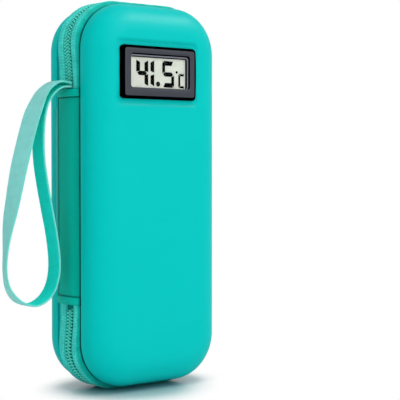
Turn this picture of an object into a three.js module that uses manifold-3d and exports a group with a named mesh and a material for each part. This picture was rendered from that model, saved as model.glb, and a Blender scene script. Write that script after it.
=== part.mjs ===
// Insulin cooling case: a zip-round hard-shell case that opens like a book, with a thermometer in
// its front, a wrist strap on its spine and a gel pack in each half.
// Millimetres, +Z up, front towards -Y, spine at -X. Pieces are built about the plane in which the
// halves meet, and the finished group is moved so that the middle of the back foot, which is the zip
// tape's crest under the back half, is the origin.

import * as THREE from 'three';
import { mergeVertices } from 'three/addons/utils/BufferGeometryUtils.js';
import Module from 'manifold-3d';

const wasm = await Module();
wasm.setup();

// Driving sizes of the case
const caseWidth = 84;
const caseHeight = 203;
const shellDepth = 26;
const cornerRadius = 25;
const bandHalf = 11;
const wallStraight = 3;
const filletInset = 16;
const clearance = 0.3;
const overrun = 8;

// Layers of a half, from the outside in
const shellWall = 2.8;
const foamWall = 2.8;
const foilWall = 0.5;

// Zip
const zipSwell = 2.4;
const teethInset = 0.2;
const teethWall = 1.3;
const toothPitch = 3.5;
const toothRootWidth = 1.5;
const toothTipWidth = 0.9;
const toothOverlap = 0.25;
const toothRootPlace = 1;
const teethBackPlace = 2.4;
const tapeEdge = 0.4;
const tapeWall = 1;
const tapeSlope = 0.6;
const tapeCrest = 4;
const tapeRim = 0.8;
const bindingWall = 0.8;
const bindingTapeLap = 3;
const bindingShellLap = 2.5;

// Spine
const spineHeadMargin = 45.25;
const spineFootMargin = 44.25;
const spineWall = 1.4;
const spineBulge = 1.2;
const liningWall = 0.4;
const hemHeight = 4;
const hemWall = 0.8;

// Wrist strap
const strapWidth = 11.4;
const strapWall = 1.2;
const strapReach = 38.2;
const strapDrop = 114.3;
const strapTwistDegrees = 32;
const strapRootGap = 0.5;

// Gel packs and the pockets that hold them
const packWidth = 50;
const packHeadroom = 8;
const penRoom = 9.2;
const packCrown = 9;
const packRim = 1.5;
const packRimWall = 0.6;
const packFloor = 9.5;
const pocketWall = 1;
const packShow = 21.5;
const netWall = 0.8;
const netHemHeight = 4;
const netHemWall = 1.4;

// Pen bands
const penLoopCount = 3;
const penLoopWidth = 17;
const penLoopRise = 9.6;
const penLoopPitch = 21;
const penBandWall = 0.8;
const penBandHeight = 18;
const penBandEnd = 3;
const penBandShares = [0.3, 0.7];

// Thermometer
const displayX = -2.5;
const displayDrop = 36.5;
const bezelMargin = 18;
const bezelHeight = 28.6;
const bezelProud = 2;
const bezelRadius = 2.5;
const bezelBevel = 1.3;
const bezelFlange = 1.3;
const windowSideFrame = 6.2;
const windowEndFrame = 5.6;
const windowStep = 1.3;
const windowStepDepth = 0.6;
const lensWall = 1;
const panelLap = 1.2;
const panelWall = 1.8;
const boardWall = 1;
const housingDepth = 10.6;
const housingWall = 1.2;
const cellDiameter = 11.6;
const cellHeight = 5.4;
const cellSpacing = 13;
const bayMargin = 1.2;
const doorWall = 1.2;
const doorLap = 2;
const railWidth = 1.2;
const railLip = 0.8;
const gripWidth = 1;
const gripRise = 0.6;
const gripPitch = 2;
const gripCount = 3;
const clipWall = 2.4;
const clipHeight = 12;
const clipDepth = 5.5;
const clipNose = 1;
const probeDiameter = 3;
const probeLength = 5;
const probeShare = 0.3;

// Sliders and pulls
const sliderLength = 11;
const sliderWall = 1.2;
const sliderRunning = 0.9;
const sliderFlange = 0.8;
const crownWidth = 3;
const crownPost = 1;
const crownBar = 0.8;
const crownHoleLength = 1.8;
const crownHoleRise = 1.8;
const pullBar = 0.9;
const pullWidth = 7;
const pullNeck = 7;
const pullLength = 16;
const pullWall = 1.4;
const pullLeanDegrees = 3;

// Shares and counts that set how finely round forms are cut
const cornerSteps = 6;
const filletSteps = 5;
const liningSteps = 3;
const packSteps = 7;
const loopSteps = 6;
const strapSteps = 76;
const smallCornerSteps = 3;
const cylinderSides = 20;
const leastRadiusShare = 0.08;

// Sizes worked out from the ones above
const halfWidth = caseWidth / 2;
const filletDepth = shellDepth - bandHalf - wallStraight;
const foamOuter = shellWall + clearance;
const foamInner = foamOuter + foamWall;
const foilOuter = foamInner + clearance;
const foilInner = foilOuter + foilWall;
const liningRim = bandHalf + bindingShellLap + clearance;
const tapeOuter = teethInset + teethWall + clearance;
const pocketInset = shellWall + clearance + bindingWall + clearance;
const displayZ = caseHeight - displayDrop;
const bezelWidth = caseWidth - 2 * bezelMargin;
const housingWidth = bezelWidth - 2 * bezelFlange;
const housingHeight = bezelHeight - 2 * bezelFlange;
const windowWidth = bezelWidth - 2 * windowSideFrame;
const windowHeight = bezelHeight - 2 * windowEndFrame;
const packBack = shellDepth - foilInner - clearance;
const packThickness = packBack - clearance - penRoom;
const packLength = displayZ - housingHeight / 2 - packHeadroom - packFloor;
const pocketMouth = packFloor + packLength - packShow;
const spineBottom = spineFootMargin;
const spineTop = caseHeight - spineHeadMargin;
const sliderHalf = teethBackPlace + clearance + sliderFlange;
const grooveEdge = sliderHalf + clearance;
const crestNear = grooveEdge + tapeSlope;
const crestFar = crestNear + tapeCrest;
const footMiddle = (crestNear + crestFar) / 2;

// Mesh helpers

// Makes a geometry from points and triangles, turned so that its faces point out.
function closedGeometry(points, triangles) {
  let volume = 0;
  for (const [a, b, c] of triangles) {
    const [ax, ay, az] = points[a];
    const [bx, by, bz] = points[b];
    const [cx, cy, cz] = points[c];
    volume += ax * (by * cz - bz * cy) + ay * (bz * cx - bx * cz) + az * (bx * cy - by * cx);
  }
  const order = volume < 0 ? triangles.map(([a, b, c]) => [a, c, b]) : triangles;
  const geometry = new THREE.BufferGeometry();
  geometry.setAttribute('position', new THREE.Float32BufferAttribute(points.flat(), 3));
  geometry.setIndex(order.flat());
  return geometry;
}

// Skins a stack of rings with equal point counts and closes both ends, which are convex.
function loft(rings) {
  const count = rings[0].length;
  const last = (rings.length - 1) * count;
  const triangles = [];
  for (let ring = 0; ring + 1 < rings.length; ring += 1) {
    for (let i = 0; i < count; i += 1) {
      const a = ring * count + i;
      const b = ring * count + ((i + 1) % count);
      triangles.push([a, b, b + count], [a, b + count, a + count]);
    }
  }
  for (let i = 1; i + 1 < count; i += 1) {
    triangles.push([0, i + 1, i], [last, last + i, last + i + 1]);
  }
  return closedGeometry(rings.flat(), triangles);
}

function toSolid(geometry) {
  const bare = geometry.clone();
  bare.deleteAttribute('normal');
  bare.deleteAttribute('uv');
  const merged = mergeVertices(bare);
  return new wasm.Manifold(new wasm.Mesh({
    numProp: 3,
    vertProperties: new Float32Array(merged.attributes.position.array),
    triVerts: new Uint32Array(merged.index.array),
  }));
}

function fromSolid(solid) {
  const mesh = solid.getMesh();
  const geometry = new THREE.BufferGeometry();
  geometry.setAttribute('position', new THREE.BufferAttribute(mesh.vertProperties, 3));
  geometry.setIndex(new THREE.BufferAttribute(mesh.triVerts, 1));
  return geometry;
}

function cut(geometry, ...tools) {
  return fromSolid(tools.reduce((solid, tool) => solid.subtract(toSolid(tool)), toSolid(geometry)));
}

function join(geometry, ...others) {
  return fromSolid(others.reduce((solid, other) => solid.add(toSolid(other)), toSolid(geometry)));
}

// A box between two corners.
function box(x0, x1, y0, y1, z0, z1) {
  const geometry = new THREE.BoxGeometry(x1 - x0, y1 - y0, z1 - z0);
  geometry.translate((x0 + x1) / 2, (y0 + y1) / 2, (z0 + z1) / 2);
  return geometry;
}

// A ring of points round a rectangle with round corners, in a plane across Y.
function rectangleRing(width, height, radius, y, steps, middleX = 0, middleZ = 0) {
  const ring = [];
  const corners = [[1, 1], [-1, 1], [-1, -1], [1, -1]];
  corners.forEach(([sideX, sideZ], corner) => {
    for (let i = 0; i <= steps; i += 1) {
      const angle = (corner + i / steps) * Math.PI / 2;
      const x = sideX * (width / 2 - radius) + radius * Math.cos(angle);
      const z = sideZ * (height / 2 - radius) + radius * Math.sin(angle);
      ring.push([middleX + x, y, middleZ + z]);
    }
  });
  return ring;
}

// The case's outline, drawn in by an inset, in a plane across Y.
function caseRing(inset, y) {
  const radius = Math.max(cornerRadius - inset, cornerRadius * leastRadiusShare);
  const width = caseWidth - 2 * inset;
  const height = caseHeight - 2 * inset;
  return rectangleRing(width, height, radius, y, cornerSteps, 0, caseHeight / 2);
}

// A plate with round corners between two places along Y.
function plate(width, height, radius, y0, y1) {
  const first = rectangleRing(width, height, radius, y0, smallCornerSteps);
  const second = rectangleRing(width, height, radius, y1, smallCornerSteps);
  return loft([first, second]);
}

// Halves of the case. Side is 1 for the back half and -1 for the front half.

// Solid filling of a half up to a skin that lies some way inside the outer one.
function halfFilling(skin, rim, side, steps) {
  const radial = filletInset - skin;
  const axial = filletDepth - skin;
  const rings = [caseRing(skin, side * rim)];
  for (let i = 0; i <= steps; i += 1) {
    const angle = (i / steps) * Math.PI / 2;
    const inset = filletInset - radial * Math.cos(angle);
    const y = bandHalf + wallStraight + axial * Math.sin(angle);
    rings.push(caseRing(inset, side * y));
  }
  return loft(rings);
}

// An open cup between two skins of a half.
function cup(outerSkin, innerSkin, rim, side, steps) {
  const hollow = halfFilling(innerSkin, rim - overrun, side, steps);
  return cut(halfFilling(outerSkin, rim, side, steps), hollow);
}

// A hoop that follows the case's outline between two insets and two places from the middle.
function hoop(outerInset, innerInset, nearPlace, farPlace, side) {
  const outer = loft([caseRing(outerInset, side * nearPlace), caseRing(outerInset, side * farPlace)]);
  const inner = loft([
    caseRing(innerInset, side * (nearPlace - overrun)),
    caseRing(innerInset, side * (farPlace + overrun)),
  ]);
  return cut(outer, inner);
}

// The zip starts at the spine's top and runs over the top, down the right side and along the bottom to
// the spine's end. Each leg has the angle in which it starts to face, and a corner turns about its centre.
const quarterRun = cornerRadius * Math.PI / 2;
const cornerLeft = -halfWidth + cornerRadius;
const cornerRight = halfWidth - cornerRadius;
const cornerHigh = caseHeight - cornerRadius;
const zipLegs = [
  { length: cornerHigh - spineTop, x: cornerLeft, z: spineTop, angle: Math.PI },
  { length: quarterRun, x: cornerLeft, z: cornerHigh, angle: Math.PI, turns: true },
  { length: cornerRight - cornerLeft, x: cornerLeft, z: cornerHigh, angle: Math.PI / 2 },
  { length: quarterRun, x: cornerRight, z: cornerHigh, angle: Math.PI / 2, turns: true },
  { length: cornerHigh - cornerRadius, x: cornerRight, z: cornerHigh, angle: 0 },
  { length: quarterRun, x: cornerRight, z: cornerRadius, angle: 0, turns: true },
  { length: cornerRight - cornerLeft, x: cornerRight, z: cornerRadius, angle: -Math.PI / 2 },
  { length: quarterRun, x: cornerLeft, z: cornerRadius, angle: -Math.PI / 2, turns: true },
  { length: spineBottom - cornerRadius, x: cornerLeft, z: cornerRadius, angle: -Math.PI },
];
const legStarts = zipLegs.map((_, leg) => zipLegs.slice(0, leg).reduce((sum, { length }) => sum + length, 0));
const zipLength = zipLegs.reduce((sum, { length }) => sum + length, 0);

// A point of the case's outline, at a length along the zip and an inset.
function zipPoint(along, inset) {
  const found = legStarts.findIndex((start) => start > along);
  const index = found < 0 ? zipLegs.length - 1 : Math.max(found - 1, 0);
  const leg = zipLegs[index];
  const rest = along - legStarts[index];
  const angle = leg.turns ? leg.angle - rest / cornerRadius : leg.angle;
  const straight = leg.turns ? 0 : rest;
  const reach = cornerRadius - inset;
  const x = leg.x + reach * Math.cos(angle) + straight * Math.sin(angle);
  const z = leg.z + reach * Math.sin(angle) - straight * Math.cos(angle);
  return [x, z];
}

// The zip band swells past the shells round both ends of the case, and lies flat beside the spine and
// down the right side, where the sliders run. Each station is a leg, a share of it and a share of the swell.
const swellShares = [
  [0, 0, 0], [0, 0.25, 0], [1, 0.4, 1], [3, 0, 1], [3, 1, 0],
  [5, 0, 0], [5, 1, 1], [7, 0.6, 1], [8, 0.75, 0], [8, 1, 0],
];
const swellStations = swellShares.map(([leg, share, fullness]) => (
  { along: legStarts[leg] + share * zipLegs[leg].length, fullness }
));

function swellAt(along) {
  const found = swellStations.findIndex((station) => station.along > along);
  const next = found < 0 ? swellStations.length - 1 : Math.max(found, 1);
  const from = swellStations[next - 1];
  const to = swellStations[next];
  const share = THREE.MathUtils.smoothstep(along, from.along, to.along);
  return zipSwell * THREE.MathUtils.lerp(from.fullness, to.fullness, share);
}

// One row of zip teeth: a strip whose edge runs out into a tooth at each pitch. The two rows
// stand half a pitch apart, so the teeth of one reach between the teeth of the other.
function teethRow(side, phaseShare) {
  const points = [];
  const triangles = [];
  const outer = teethInset;
  const inner = teethInset + teethWall;
  const quad = (a, b, c, d) => triangles.push([a, b, c], [a, c, d]);
  const pair = (along, place) => [outer, inner].map((inset) => {
    const [x, z] = zipPoint(along, inset - swellAt(along));
    points.push([x, side * place, z]);
    return points.length - 1;
  });
  const first = clearance + toothRootWidth / 2 + phaseShare * toothPitch;
  const count = Math.floor((zipLength - first - clearance - toothRootWidth / 2) / toothPitch) + 1;
  let previous = null;
  for (let tooth = 0; tooth < count; tooth += 1) {
    const middle = first + tooth * toothPitch;
    const start = middle - toothRootWidth / 2;
    const end = middle + toothRootWidth / 2;
    const [rootOutA, rootInA] = pair(start, toothRootPlace);
    const [backOutA, backInA] = pair(start, teethBackPlace);
    const [rootOutB, rootInB] = pair(end, toothRootPlace);
    const [backOutB, backInB] = pair(end, teethBackPlace);
    const [tipOutA, tipInA] = pair(middle - toothTipWidth / 2, -toothOverlap);
    const [tipOutB, tipInB] = pair(middle + toothTipWidth / 2, -toothOverlap);
    quad(rootOutA, rootOutB, backOutB, backOutA);
    quad(backInA, backInB, rootInB, rootInA);
    quad(backOutA, backOutB, backInB, backInA);
    quad(tipOutA, tipOutB, rootOutB, rootOutA);
    quad(rootInA, rootInB, tipInB, tipInA);
    quad(tipInA, tipInB, tipOutB, tipOutA);
    quad(tipInA, tipOutA, rootOutA, rootInA);
    quad(rootOutB, tipOutB, tipInB, rootInB);
    if (previous) {
      const [rootOut, rootIn, backOut, backIn] = previous;
      quad(rootOut, rootOutA, backOutA, backOut);
      quad(backIn, backInA, rootInA, rootIn);
      quad(rootIn, rootInA, rootOutA, rootOut);
      quad(backOut, backOutA, backInA, backIn);
    } else {
      quad(rootInA, rootOutA, backOutA, backInA);
    }
    previous = [rootOutB, rootInB, backOutB, backInB];
  }
  const [rootOut, rootIn, backOut, backIn] = previous;
  quad(backOut, rootOut, rootIn, backIn);
  return closedGeometry(points, triangles);
}

// The block that a layer of the front half loses for the thermometer.
function displaySpace(width, height) {
  const x0 = displayX - width / 2;
  const z0 = displayZ - height / 2;
  return box(x0, x0 + width, -shellDepth - overrun, -bandHalf, z0, z0 + height);
}

function buildShell(side) {
  const shell = cup(0, shellWall, bandHalf, side, filletSteps);
  if (side > 0) {
    return shell;
  }
  return cut(shell, displaySpace(housingWidth + 2 * clearance, housingHeight + 2 * clearance));
}

function buildLayer(outerSkin, innerSkin, side) {
  const layer = cup(outerSkin, innerSkin, liningRim, side, liningSteps);
  if (side > 0) {
    return layer;
  }
  const width = housingWidth + 2 * (clipWall + clipNose + 2 * clearance);
  return cut(layer, displaySpace(width, housingHeight + 2 * clearance));
}

// Places along the zip for the tape's sections: close together where the outline turns or swells.
function tapeStations() {
  const stations = [clearance];
  zipLegs.forEach(({ length, turns }, leg) => {
    const ends = leg === 0 || leg === zipLegs.length - 1;
    const steps = turns ? cornerSteps : 1 + ends * liningSteps;
    for (let i = 1; i <= steps; i += 1) {
      stations.push(Math.min(legStarts[leg] + length * i / steps, zipLength - clearance));
    }
  });
  return stations;
}

// The tape's section: a floor under the teeth, a groove for the slider, a broad crest, which the case
// stands on at its foot, and a low rim at the shell.
function buildTape(side) {
  const rings = tapeStations().map((along) => {
    const swell = swellAt(along);
    const far = bandHalf - clearance;
    const section = [
      [grooveEdge, tapeOuter - swell],
      [crestNear, -swell],
      [crestFar, -swell],
      [far, tapeRim],
      [far, tapeOuter + tapeWall],
      [crestFar, tapeOuter + tapeWall - swell],
      [tapeEdge, tapeOuter + tapeWall - swell],
      [tapeEdge, tapeOuter - swell],
    ];
    return section.map(([place, inset]) => {
      const [x, z] = zipPoint(along, inset);
      return [x, side * place, z];
    });
  });
  return loft(rings);
}

function buildBinding(side) {
  const outer = shellWall + clearance;
  return hoop(outer, outer + bindingWall, bandHalf - bindingTapeLap, bandHalf + bindingShellLap, side);
}

// A panel across a half that ends at a mouth, with its other edges at the binding.
function pocketPanel(wall, mouth, side) {
  const near = penRoom - wall;
  const panel = loft([caseRing(pocketInset, side * near), caseRing(pocketInset, side * penRoom)]);
  return cut(panel, box(-caseWidth, caseWidth, -shellDepth, shellDepth, mouth, caseHeight + overrun));
}

function buildNetHem() {
  const low = pocketMouth + clearance;
  const edge = halfWidth - pocketInset;
  return box(-edge, edge, -penRoom, -penRoom + netHemWall, low, low + netHemHeight);
}

// An elastic band whose loops stand off the pocket panel, each wide enough for a pen.
function penBand(bottom) {
  const arch = (grow, middle, backwards) => {
    const points = [];
    for (let i = 0; i <= loopSteps; i += 1) {
      const angle = Math.PI * (backwards ? i / loopSteps : 1 - i / loopSteps);
      const x = middle + (penLoopWidth / 2 + grow) * Math.cos(angle);
      points.push(new THREE.Vector2(x, -(penLoopRise + grow) * Math.sin(angle)));
    }
    return points;
  };
  const middles = [...Array(penLoopCount).keys()].map((loop) => (loop - (penLoopCount - 1) / 2) * penLoopPitch);
  const end = middles[penLoopCount - 1] + penLoopWidth / 2 + penBandEnd;
  const inner = middles.flatMap((middle) => arch(0, middle, false));
  const outer = [...middles].reverse().flatMap((middle) => arch(penBandWall, middle, true));
  const lifted = outer.map((point) => new THREE.Vector2(point.x, Math.min(point.y, -penBandWall)));
  const outline = [
    new THREE.Vector2(-end, 0),
    ...inner,
    new THREE.Vector2(end, 0),
    new THREE.Vector2(end, -penBandWall),
    ...lifted,
    new THREE.Vector2(-end, -penBandWall),
  ];
  const band = new THREE.ExtrudeGeometry(new THREE.Shape(outline), { depth: penBandHeight, bevelEnabled: false });
  band.translate(0, penRoom - pocketWall - clearance, bottom);
  return band;
}

// A gel pack: a pillow with full round ends and a welded rim round its middle.
function gelPack(side) {
  const half = packThickness / 2;
  const rimHalf = packRimWall / 2;
  const crownShares = [1, 0.5, 0.15];
  const heightShares = [1, 0.86, 0.5];
  const faces = crownShares.map((share, i) => [packRim + packCrown * share, half * heightShares[i]]);
  const profile = [
    ...faces.map(([inset, y]) => [inset, -y]),
    [packRim, -rimHalf],
    [0, -rimHalf],
    [0, rimHalf],
    [packRim, rimHalf],
    ...[...faces].reverse(),
  ];
  const middleY = side * (packBack - half);
  const middleZ = packFloor + packLength / 2;
  return loft(profile.map(([inset, y]) => {
    const radius = packWidth / 2 - inset;
    const height = packLength - 2 * inset;
    return rectangleRing(2 * radius, height, radius, middleY + y, packSteps, 0, middleZ);
  }));
}

// Spine

// A strip with a bowed section that runs along Z on the left side, a depth below the outer skin.
function spineStrip(depth, wall, halfSpan, bottom, top) {
  const bow = new THREE.Shape();
  bow.moveTo(0, -halfSpan);
  bow.quadraticCurveTo(-2 * spineBulge, 0, 0, halfSpan);
  bow.lineTo(wall, halfSpan);
  bow.quadraticCurveTo(wall - 2 * spineBulge, 0, wall, -halfSpan);
  const strip = new THREE.ExtrudeGeometry(bow, {
    depth: top - bottom,
    bevelEnabled: false,
    curveSegments: cornerSteps,
  });
  strip.translate(-halfWidth + depth, 0, bottom);
  return strip;
}

const spineSpan = bandHalf - clearance;

function buildSpinePanel() {
  return spineStrip(0, spineWall, spineSpan, spineBottom, spineTop);
}

function buildSpineLining() {
  return spineStrip(spineWall + clearance, liningWall, spineSpan - hemWall, spineBottom, spineTop);
}

function buildSpineHem(bottom) {
  return spineStrip(-clearance - hemWall, hemWall, spineSpan - hemWall, bottom, bottom + hemHeight);
}

// Wrist strap

// Route of the webbing from its root, out round the loop and back, as shares of reach and drop.
const strapRouteShares = [
  [0, 0.0075], [0.09, 0.0155], [0.185, 0.014], [0.3, -0.005], [0.4, -0.037], [0.476, -0.08],
  [0.555, -0.135], [0.628, -0.206], [0.69, -0.276], [0.775, -0.379], [0.87, -0.521], [0.958, -0.661],
  [1, -0.793], [0.995, -0.863], [0.948, -0.92], [0.838, -0.968], [0.707, -0.992], [0.589, -1],
  [0.458, -0.988], [0.34, -0.959], [0.251, -0.911], [0.209, -0.845], [0.215, -0.766], [0.259, -0.67],
  [0.33, -0.561], [0.398, -0.451], [0.445, -0.355], [0.461, -0.268], [0.45, -0.189], [0.416, -0.119],
  [0.356, -0.07], [0.267, -0.035], [0.17, -0.014], [0.086, -0.0065], [0, -0.0065],
];

// How far the webbing is twisted about its own run, as shares of the whole twist and of its length.
function strapTwist(share) {
  const rise = THREE.MathUtils.smoothstep(share, 0.16, 0.4);
  const fall = THREE.MathUtils.smoothstep(share, 0.44, 0.64);
  return THREE.MathUtils.degToRad(strapTwistDegrees) * (rise - fall);
}

function buildStrap() {
  const rootX = -halfWidth - hemWall - clearance;
  const rootZ = spineTop + strapRootGap + strapWall + clearance / 2;
  const route = strapRouteShares.map(([reachShare, dropShare]) => (
    new THREE.Vector3(rootX - reachShare * strapReach, 0, rootZ + dropShare * strapDrop)
  ));
  const curve = new THREE.CatmullRomCurve3(route);
  const rings = [];
  for (let i = 0; i <= strapSteps; i += 1) {
    const share = i / strapSteps;
    const point = curve.getPointAt(share);
    const run = curve.getTangentAt(share);
    const across = new THREE.Vector3(0, 1, 0).applyAxisAngle(run, strapTwist(share));
    const through = new THREE.Vector3().crossVectors(run, across);
    const corners = [[1, 1], [1, -1], [-1, -1], [-1, 1]];
    rings.push(corners.map(([sideAcross, sideThrough]) => point.clone()
      .addScaledVector(across, sideAcross * strapWidth / 2)
      .addScaledVector(through, sideThrough * strapWall / 2)
      .toArray()));
  }
  return loft(rings);
}

// Thermometer, built about the middle of its place on the front face, with Y running inwards

function buildBezel() {
  const back = -clearance;
  const front = -bezelProud;
  const body = loft([
    rectangleRing(bezelWidth, bezelHeight, bezelRadius, back, smallCornerSteps),
    rectangleRing(bezelWidth, bezelHeight, bezelRadius, front + bezelBevel, smallCornerSteps),
    rectangleRing(
      bezelWidth - 2 * bezelBevel,
      bezelHeight - 2 * bezelBevel,
      bezelRadius - bezelBevel,
      front,
      smallCornerSteps,
    ),
  ]);
  const step = plate(
    windowWidth + 2 * windowStep,
    windowHeight + 2 * windowStep,
    bezelRadius - bezelBevel,
    front - overrun,
    front + windowStepDepth,
  );
  const opening = box(
    -windowWidth / 2,
    windowWidth / 2,
    front - overrun,
    overrun,
    -windowHeight / 2,
    windowHeight / 2,
  );
  return cut(body, step, opening);
}

function buildLens() {
  const width = windowWidth - 2 * clearance;
  const height = windowHeight - 2 * clearance;
  return box(-width / 2, width / 2, -clearance - lensWall, -clearance, -height / 2, height / 2);
}

function buildPanel() {
  const halfAcross = windowWidth / 2 + panelLap;
  const halfUp = windowHeight / 2 + panelLap;
  return box(-halfAcross, halfAcross, 0, panelWall, -halfUp, halfUp);
}

const boardFront = panelWall + clearance;

function buildBoard() {
  const across = housingWidth - 2 * (housingWall + clearance);
  const up = housingHeight - 2 * (housingWall + clearance);
  return plate(across, up, bezelRadius - housingWall, boardFront, boardFront + boardWall);
}

const cellFront = boardFront + boardWall + clearance;
const bayWidth = cellSpacing + cellDiameter + 2 * bayMargin;
const bayHeight = cellDiameter + 2 * bayMargin;
const doorWidth = bayWidth + 2 * doorLap;
const doorHeight = bayHeight + 2 * doorLap;
const doorFront = housingDepth + clearance;

function buildHousing() {
  const inner = plate(
    housingWidth - 2 * housingWall,
    housingHeight - 2 * housingWall,
    bezelRadius - housingWall,
    -overrun,
    housingDepth - housingWall,
  );
  const body = plate(housingWidth, housingHeight, bezelRadius, 0, housingDepth);
  const bay = box(-bayWidth / 2, bayWidth / 2, 0, housingDepth + overrun, -bayHeight / 2, bayHeight / 2);
  const railIn = doorHeight / 2 + clearance;
  const railBack = doorFront + doorWall + clearance + railLip;
  const rails = [1, -1].flatMap((side) => {
    const edge = side * railIn;
    const outside = side * (railIn + railWidth);
    const lip = side * (railIn - doorLap / 2);
    const low = Math.min(edge, outside);
    const high = Math.max(edge, outside);
    return [
      box(-doorWidth / 2, doorWidth / 2, housingDepth - housingWall, railBack, low, high),
      box(
        -doorWidth / 2,
        doorWidth / 2,
        railBack - railLip,
        railBack,
        Math.min(lip, outside),
        Math.max(lip, outside),
      ),
    ];
  });
  return join(cut(body, inner, bay), ...rails);
}

function buildDoor() {
  const back = doorFront + doorWall;
  const slab = box(-doorWidth / 2, doorWidth / 2, doorFront, back, -doorHeight / 2, doorHeight / 2);
  const ribs = [...Array(gripCount).keys()].map((rib) => {
    const middle = -doorWidth / 2 + doorLap + rib * gripPitch;
    const tall = doorHeight / 2 - doorLap;
    return box(middle - gripWidth / 2, middle + gripWidth / 2, doorFront, back + gripRise, -tall, tall);
  });
  return join(slab, ...ribs);
}

function buildCell(side) {
  const cell = new THREE.CylinderGeometry(cellDiameter / 2, cellDiameter / 2, cellHeight, cylinderSides);
  cell.translate(side * cellSpacing / 2, cellFront + cellHeight / 2, 0);
  return cell;
}

// A snap clip beside the housing, whose nose catches behind the shell.
function buildClip(side) {
  const near = housingWidth / 2 + clearance;
  const front = shellWall + clearance;
  const outline = new THREE.Shape();
  outline.moveTo(near, front);
  outline.lineTo(near + clipWall + clipNose, front);
  outline.lineTo(near + clipWall / 2, front + clipDepth);
  outline.lineTo(near, front + clipDepth);
  const clip = new THREE.ExtrudeGeometry(outline, { depth: clipHeight, bevelEnabled: false });
  clip.translate(0, 0, -clipHeight / 2);
  if (side < 0) {
    clip.rotateZ(Math.PI);
    clip.translate(0, 2 * front + clipDepth, 0);
  }
  return clip;
}

// The sensor points down from the housing, over the gel pack, in the space behind the foil.
function buildProbe() {
  const probe = new THREE.CylinderGeometry(probeDiameter / 2, probeDiameter / 2, probeLength, cylinderSides);
  probe.rotateX(Math.PI / 2);
  const place = (foilInner + housingDepth) / 2;
  probe.translate(-housingWidth * probeShare, place, -housingHeight / 2 - clearance - probeLength / 2);
  return probe;
}

// Sliders and pulls, built about the middle of the slider on the right side, with X running outwards

const plateInside = sliderRunning - teethInset;
const plateOutside = plateInside + sliderWall;
const holeMiddle = plateOutside + crownHoleRise / 2;

function buildSlider() {
  const halfLength = sliderLength / 2;
  const top = box(plateInside, plateOutside, -sliderHalf, sliderHalf, -halfLength, halfLength);
  const low = clearance - tapeOuter;
  const flange = box(low, plateOutside, sliderHalf - sliderFlange, sliderHalf, -halfLength, halfLength);
  const crownHalf = crownHoleLength / 2 + crownPost;
  const crownTop = plateOutside + crownHoleRise + crownBar;
  const crown = box(plateOutside - sliderWall / 2, crownTop, -crownWidth / 2, crownWidth / 2, -crownHalf, crownHalf);
  const hole = box(
    plateOutside,
    plateOutside + crownHoleRise,
    -crownWidth,
    crownWidth,
    -crownHoleLength / 2,
    crownHoleLength / 2,
  );
  return cut(join(top, flange, crown), hole);
}

// A pull about its own hinge line: a bar through the crown, two arms and a tab that hangs down.
function buildPull() {
  const armIn = crownWidth / 2 + clearance;
  const armOut = armIn + pullBar;
  const halfBar = pullBar / 2;
  const bar = box(-halfBar, halfBar, -armOut, armOut, -halfBar, halfBar);
  const arms = [1, -1].map((side) => {
    const y0 = side > 0 ? armIn : -armOut;
    return box(-halfBar, halfBar, y0, y0 + pullBar, -pullNeck, halfBar);
  });
  const tab = new THREE.Shape();
  const halfTab = pullWidth / 2;
  const bottom = -pullNeck - pullLength;
  tab.moveTo(-halfTab, -pullNeck);
  tab.lineTo(-halfTab, bottom + halfTab);
  tab.absarc(0, bottom + halfTab, halfTab, Math.PI, 2 * Math.PI, false);
  tab.lineTo(halfTab, -pullNeck);
  tab.lineTo(armIn, -pullNeck + pullBar);
  tab.lineTo(-armIn, -pullNeck + pullBar);
  const slab = new THREE.ExtrudeGeometry(tab, { depth: pullWall, bevelEnabled: false, curveSegments: cornerSteps });
  slab.rotateX(Math.PI / 2);
  slab.rotateZ(Math.PI / 2);
  slab.translate(-pullWall / 2, 0, 0);
  return join(bar, ...arms, slab);
}

// Materials

function finish(colour, roughness, metalness = 0) {
  return new THREE.MeshStandardMaterial({ color: colour, roughness, metalness });
}

const materials = {
  shell: finish(0x00bfb6, 0.55),
  tape: finish(0x3fbfae, 0.8),
  teeth: finish(0x1fae9c, 0.6),
  spine: finish(0x00a595, 0.55),
  hem: finish(0x14ac9e, 0.55),
  webbing: finish(0x55cdbd, 0.8),
  foam: finish(0xe8e8e4, 0.9),
  foil: finish(0xc9ccd0, 0.3, 0.6),
  binding: finish(0x1d8f86, 0.85),
  lining: finish(0x2a2e33, 0.9),
  net: finish(0x23272b, 0.9),
  elastic: finish(0x1f2226, 0.85),
  gel: finish(0x0a5bc4, 0.35),
  bezel: finish(0x3d3d4b, 0.4),
  housing: finish(0x17171c, 0.5),
  lens: finish(0xe6eae6, 0.1),
  display: finish(0xcdd0c6, 0.3),
  board: finish(0x1c6b3c, 0.6),
  steel: finish(0xc8cacc, 0.3, 1),
};

// Assembly

const halves = new THREE.Group();
const spine = new THREE.Group();
const thermometer = new THREE.Group();
const sliders = new THREE.Group();
const coolingCase = new THREE.Group();

function addPiece(parent, name, geometry, material) {
  const mesh = new THREE.Mesh(geometry, material);
  mesh.name = name;
  parent.add(mesh);
  return mesh;
}

function addHalf(prefix, side) {
  addPiece(halves, `${prefix}_shell`, buildShell(side), materials.shell);
  addPiece(halves, `${prefix}_foam`, buildLayer(foamOuter, foamInner, side), materials.foam);
  addPiece(halves, `${prefix}_foil`, buildLayer(foilOuter, foilInner, side), materials.foil);
  addPiece(halves, `${prefix}_binding`, buildBinding(side), materials.binding);
  addPiece(halves, `${prefix}_zip_tape`, buildTape(side), materials.tape);
  addPiece(halves, `${prefix}_zip_teeth`, teethRow(side, side > 0 ? 0 : 0.5), materials.teeth);
  addPiece(halves, `${prefix}_gel_pack`, gelPack(side), materials.gel);
}

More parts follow.
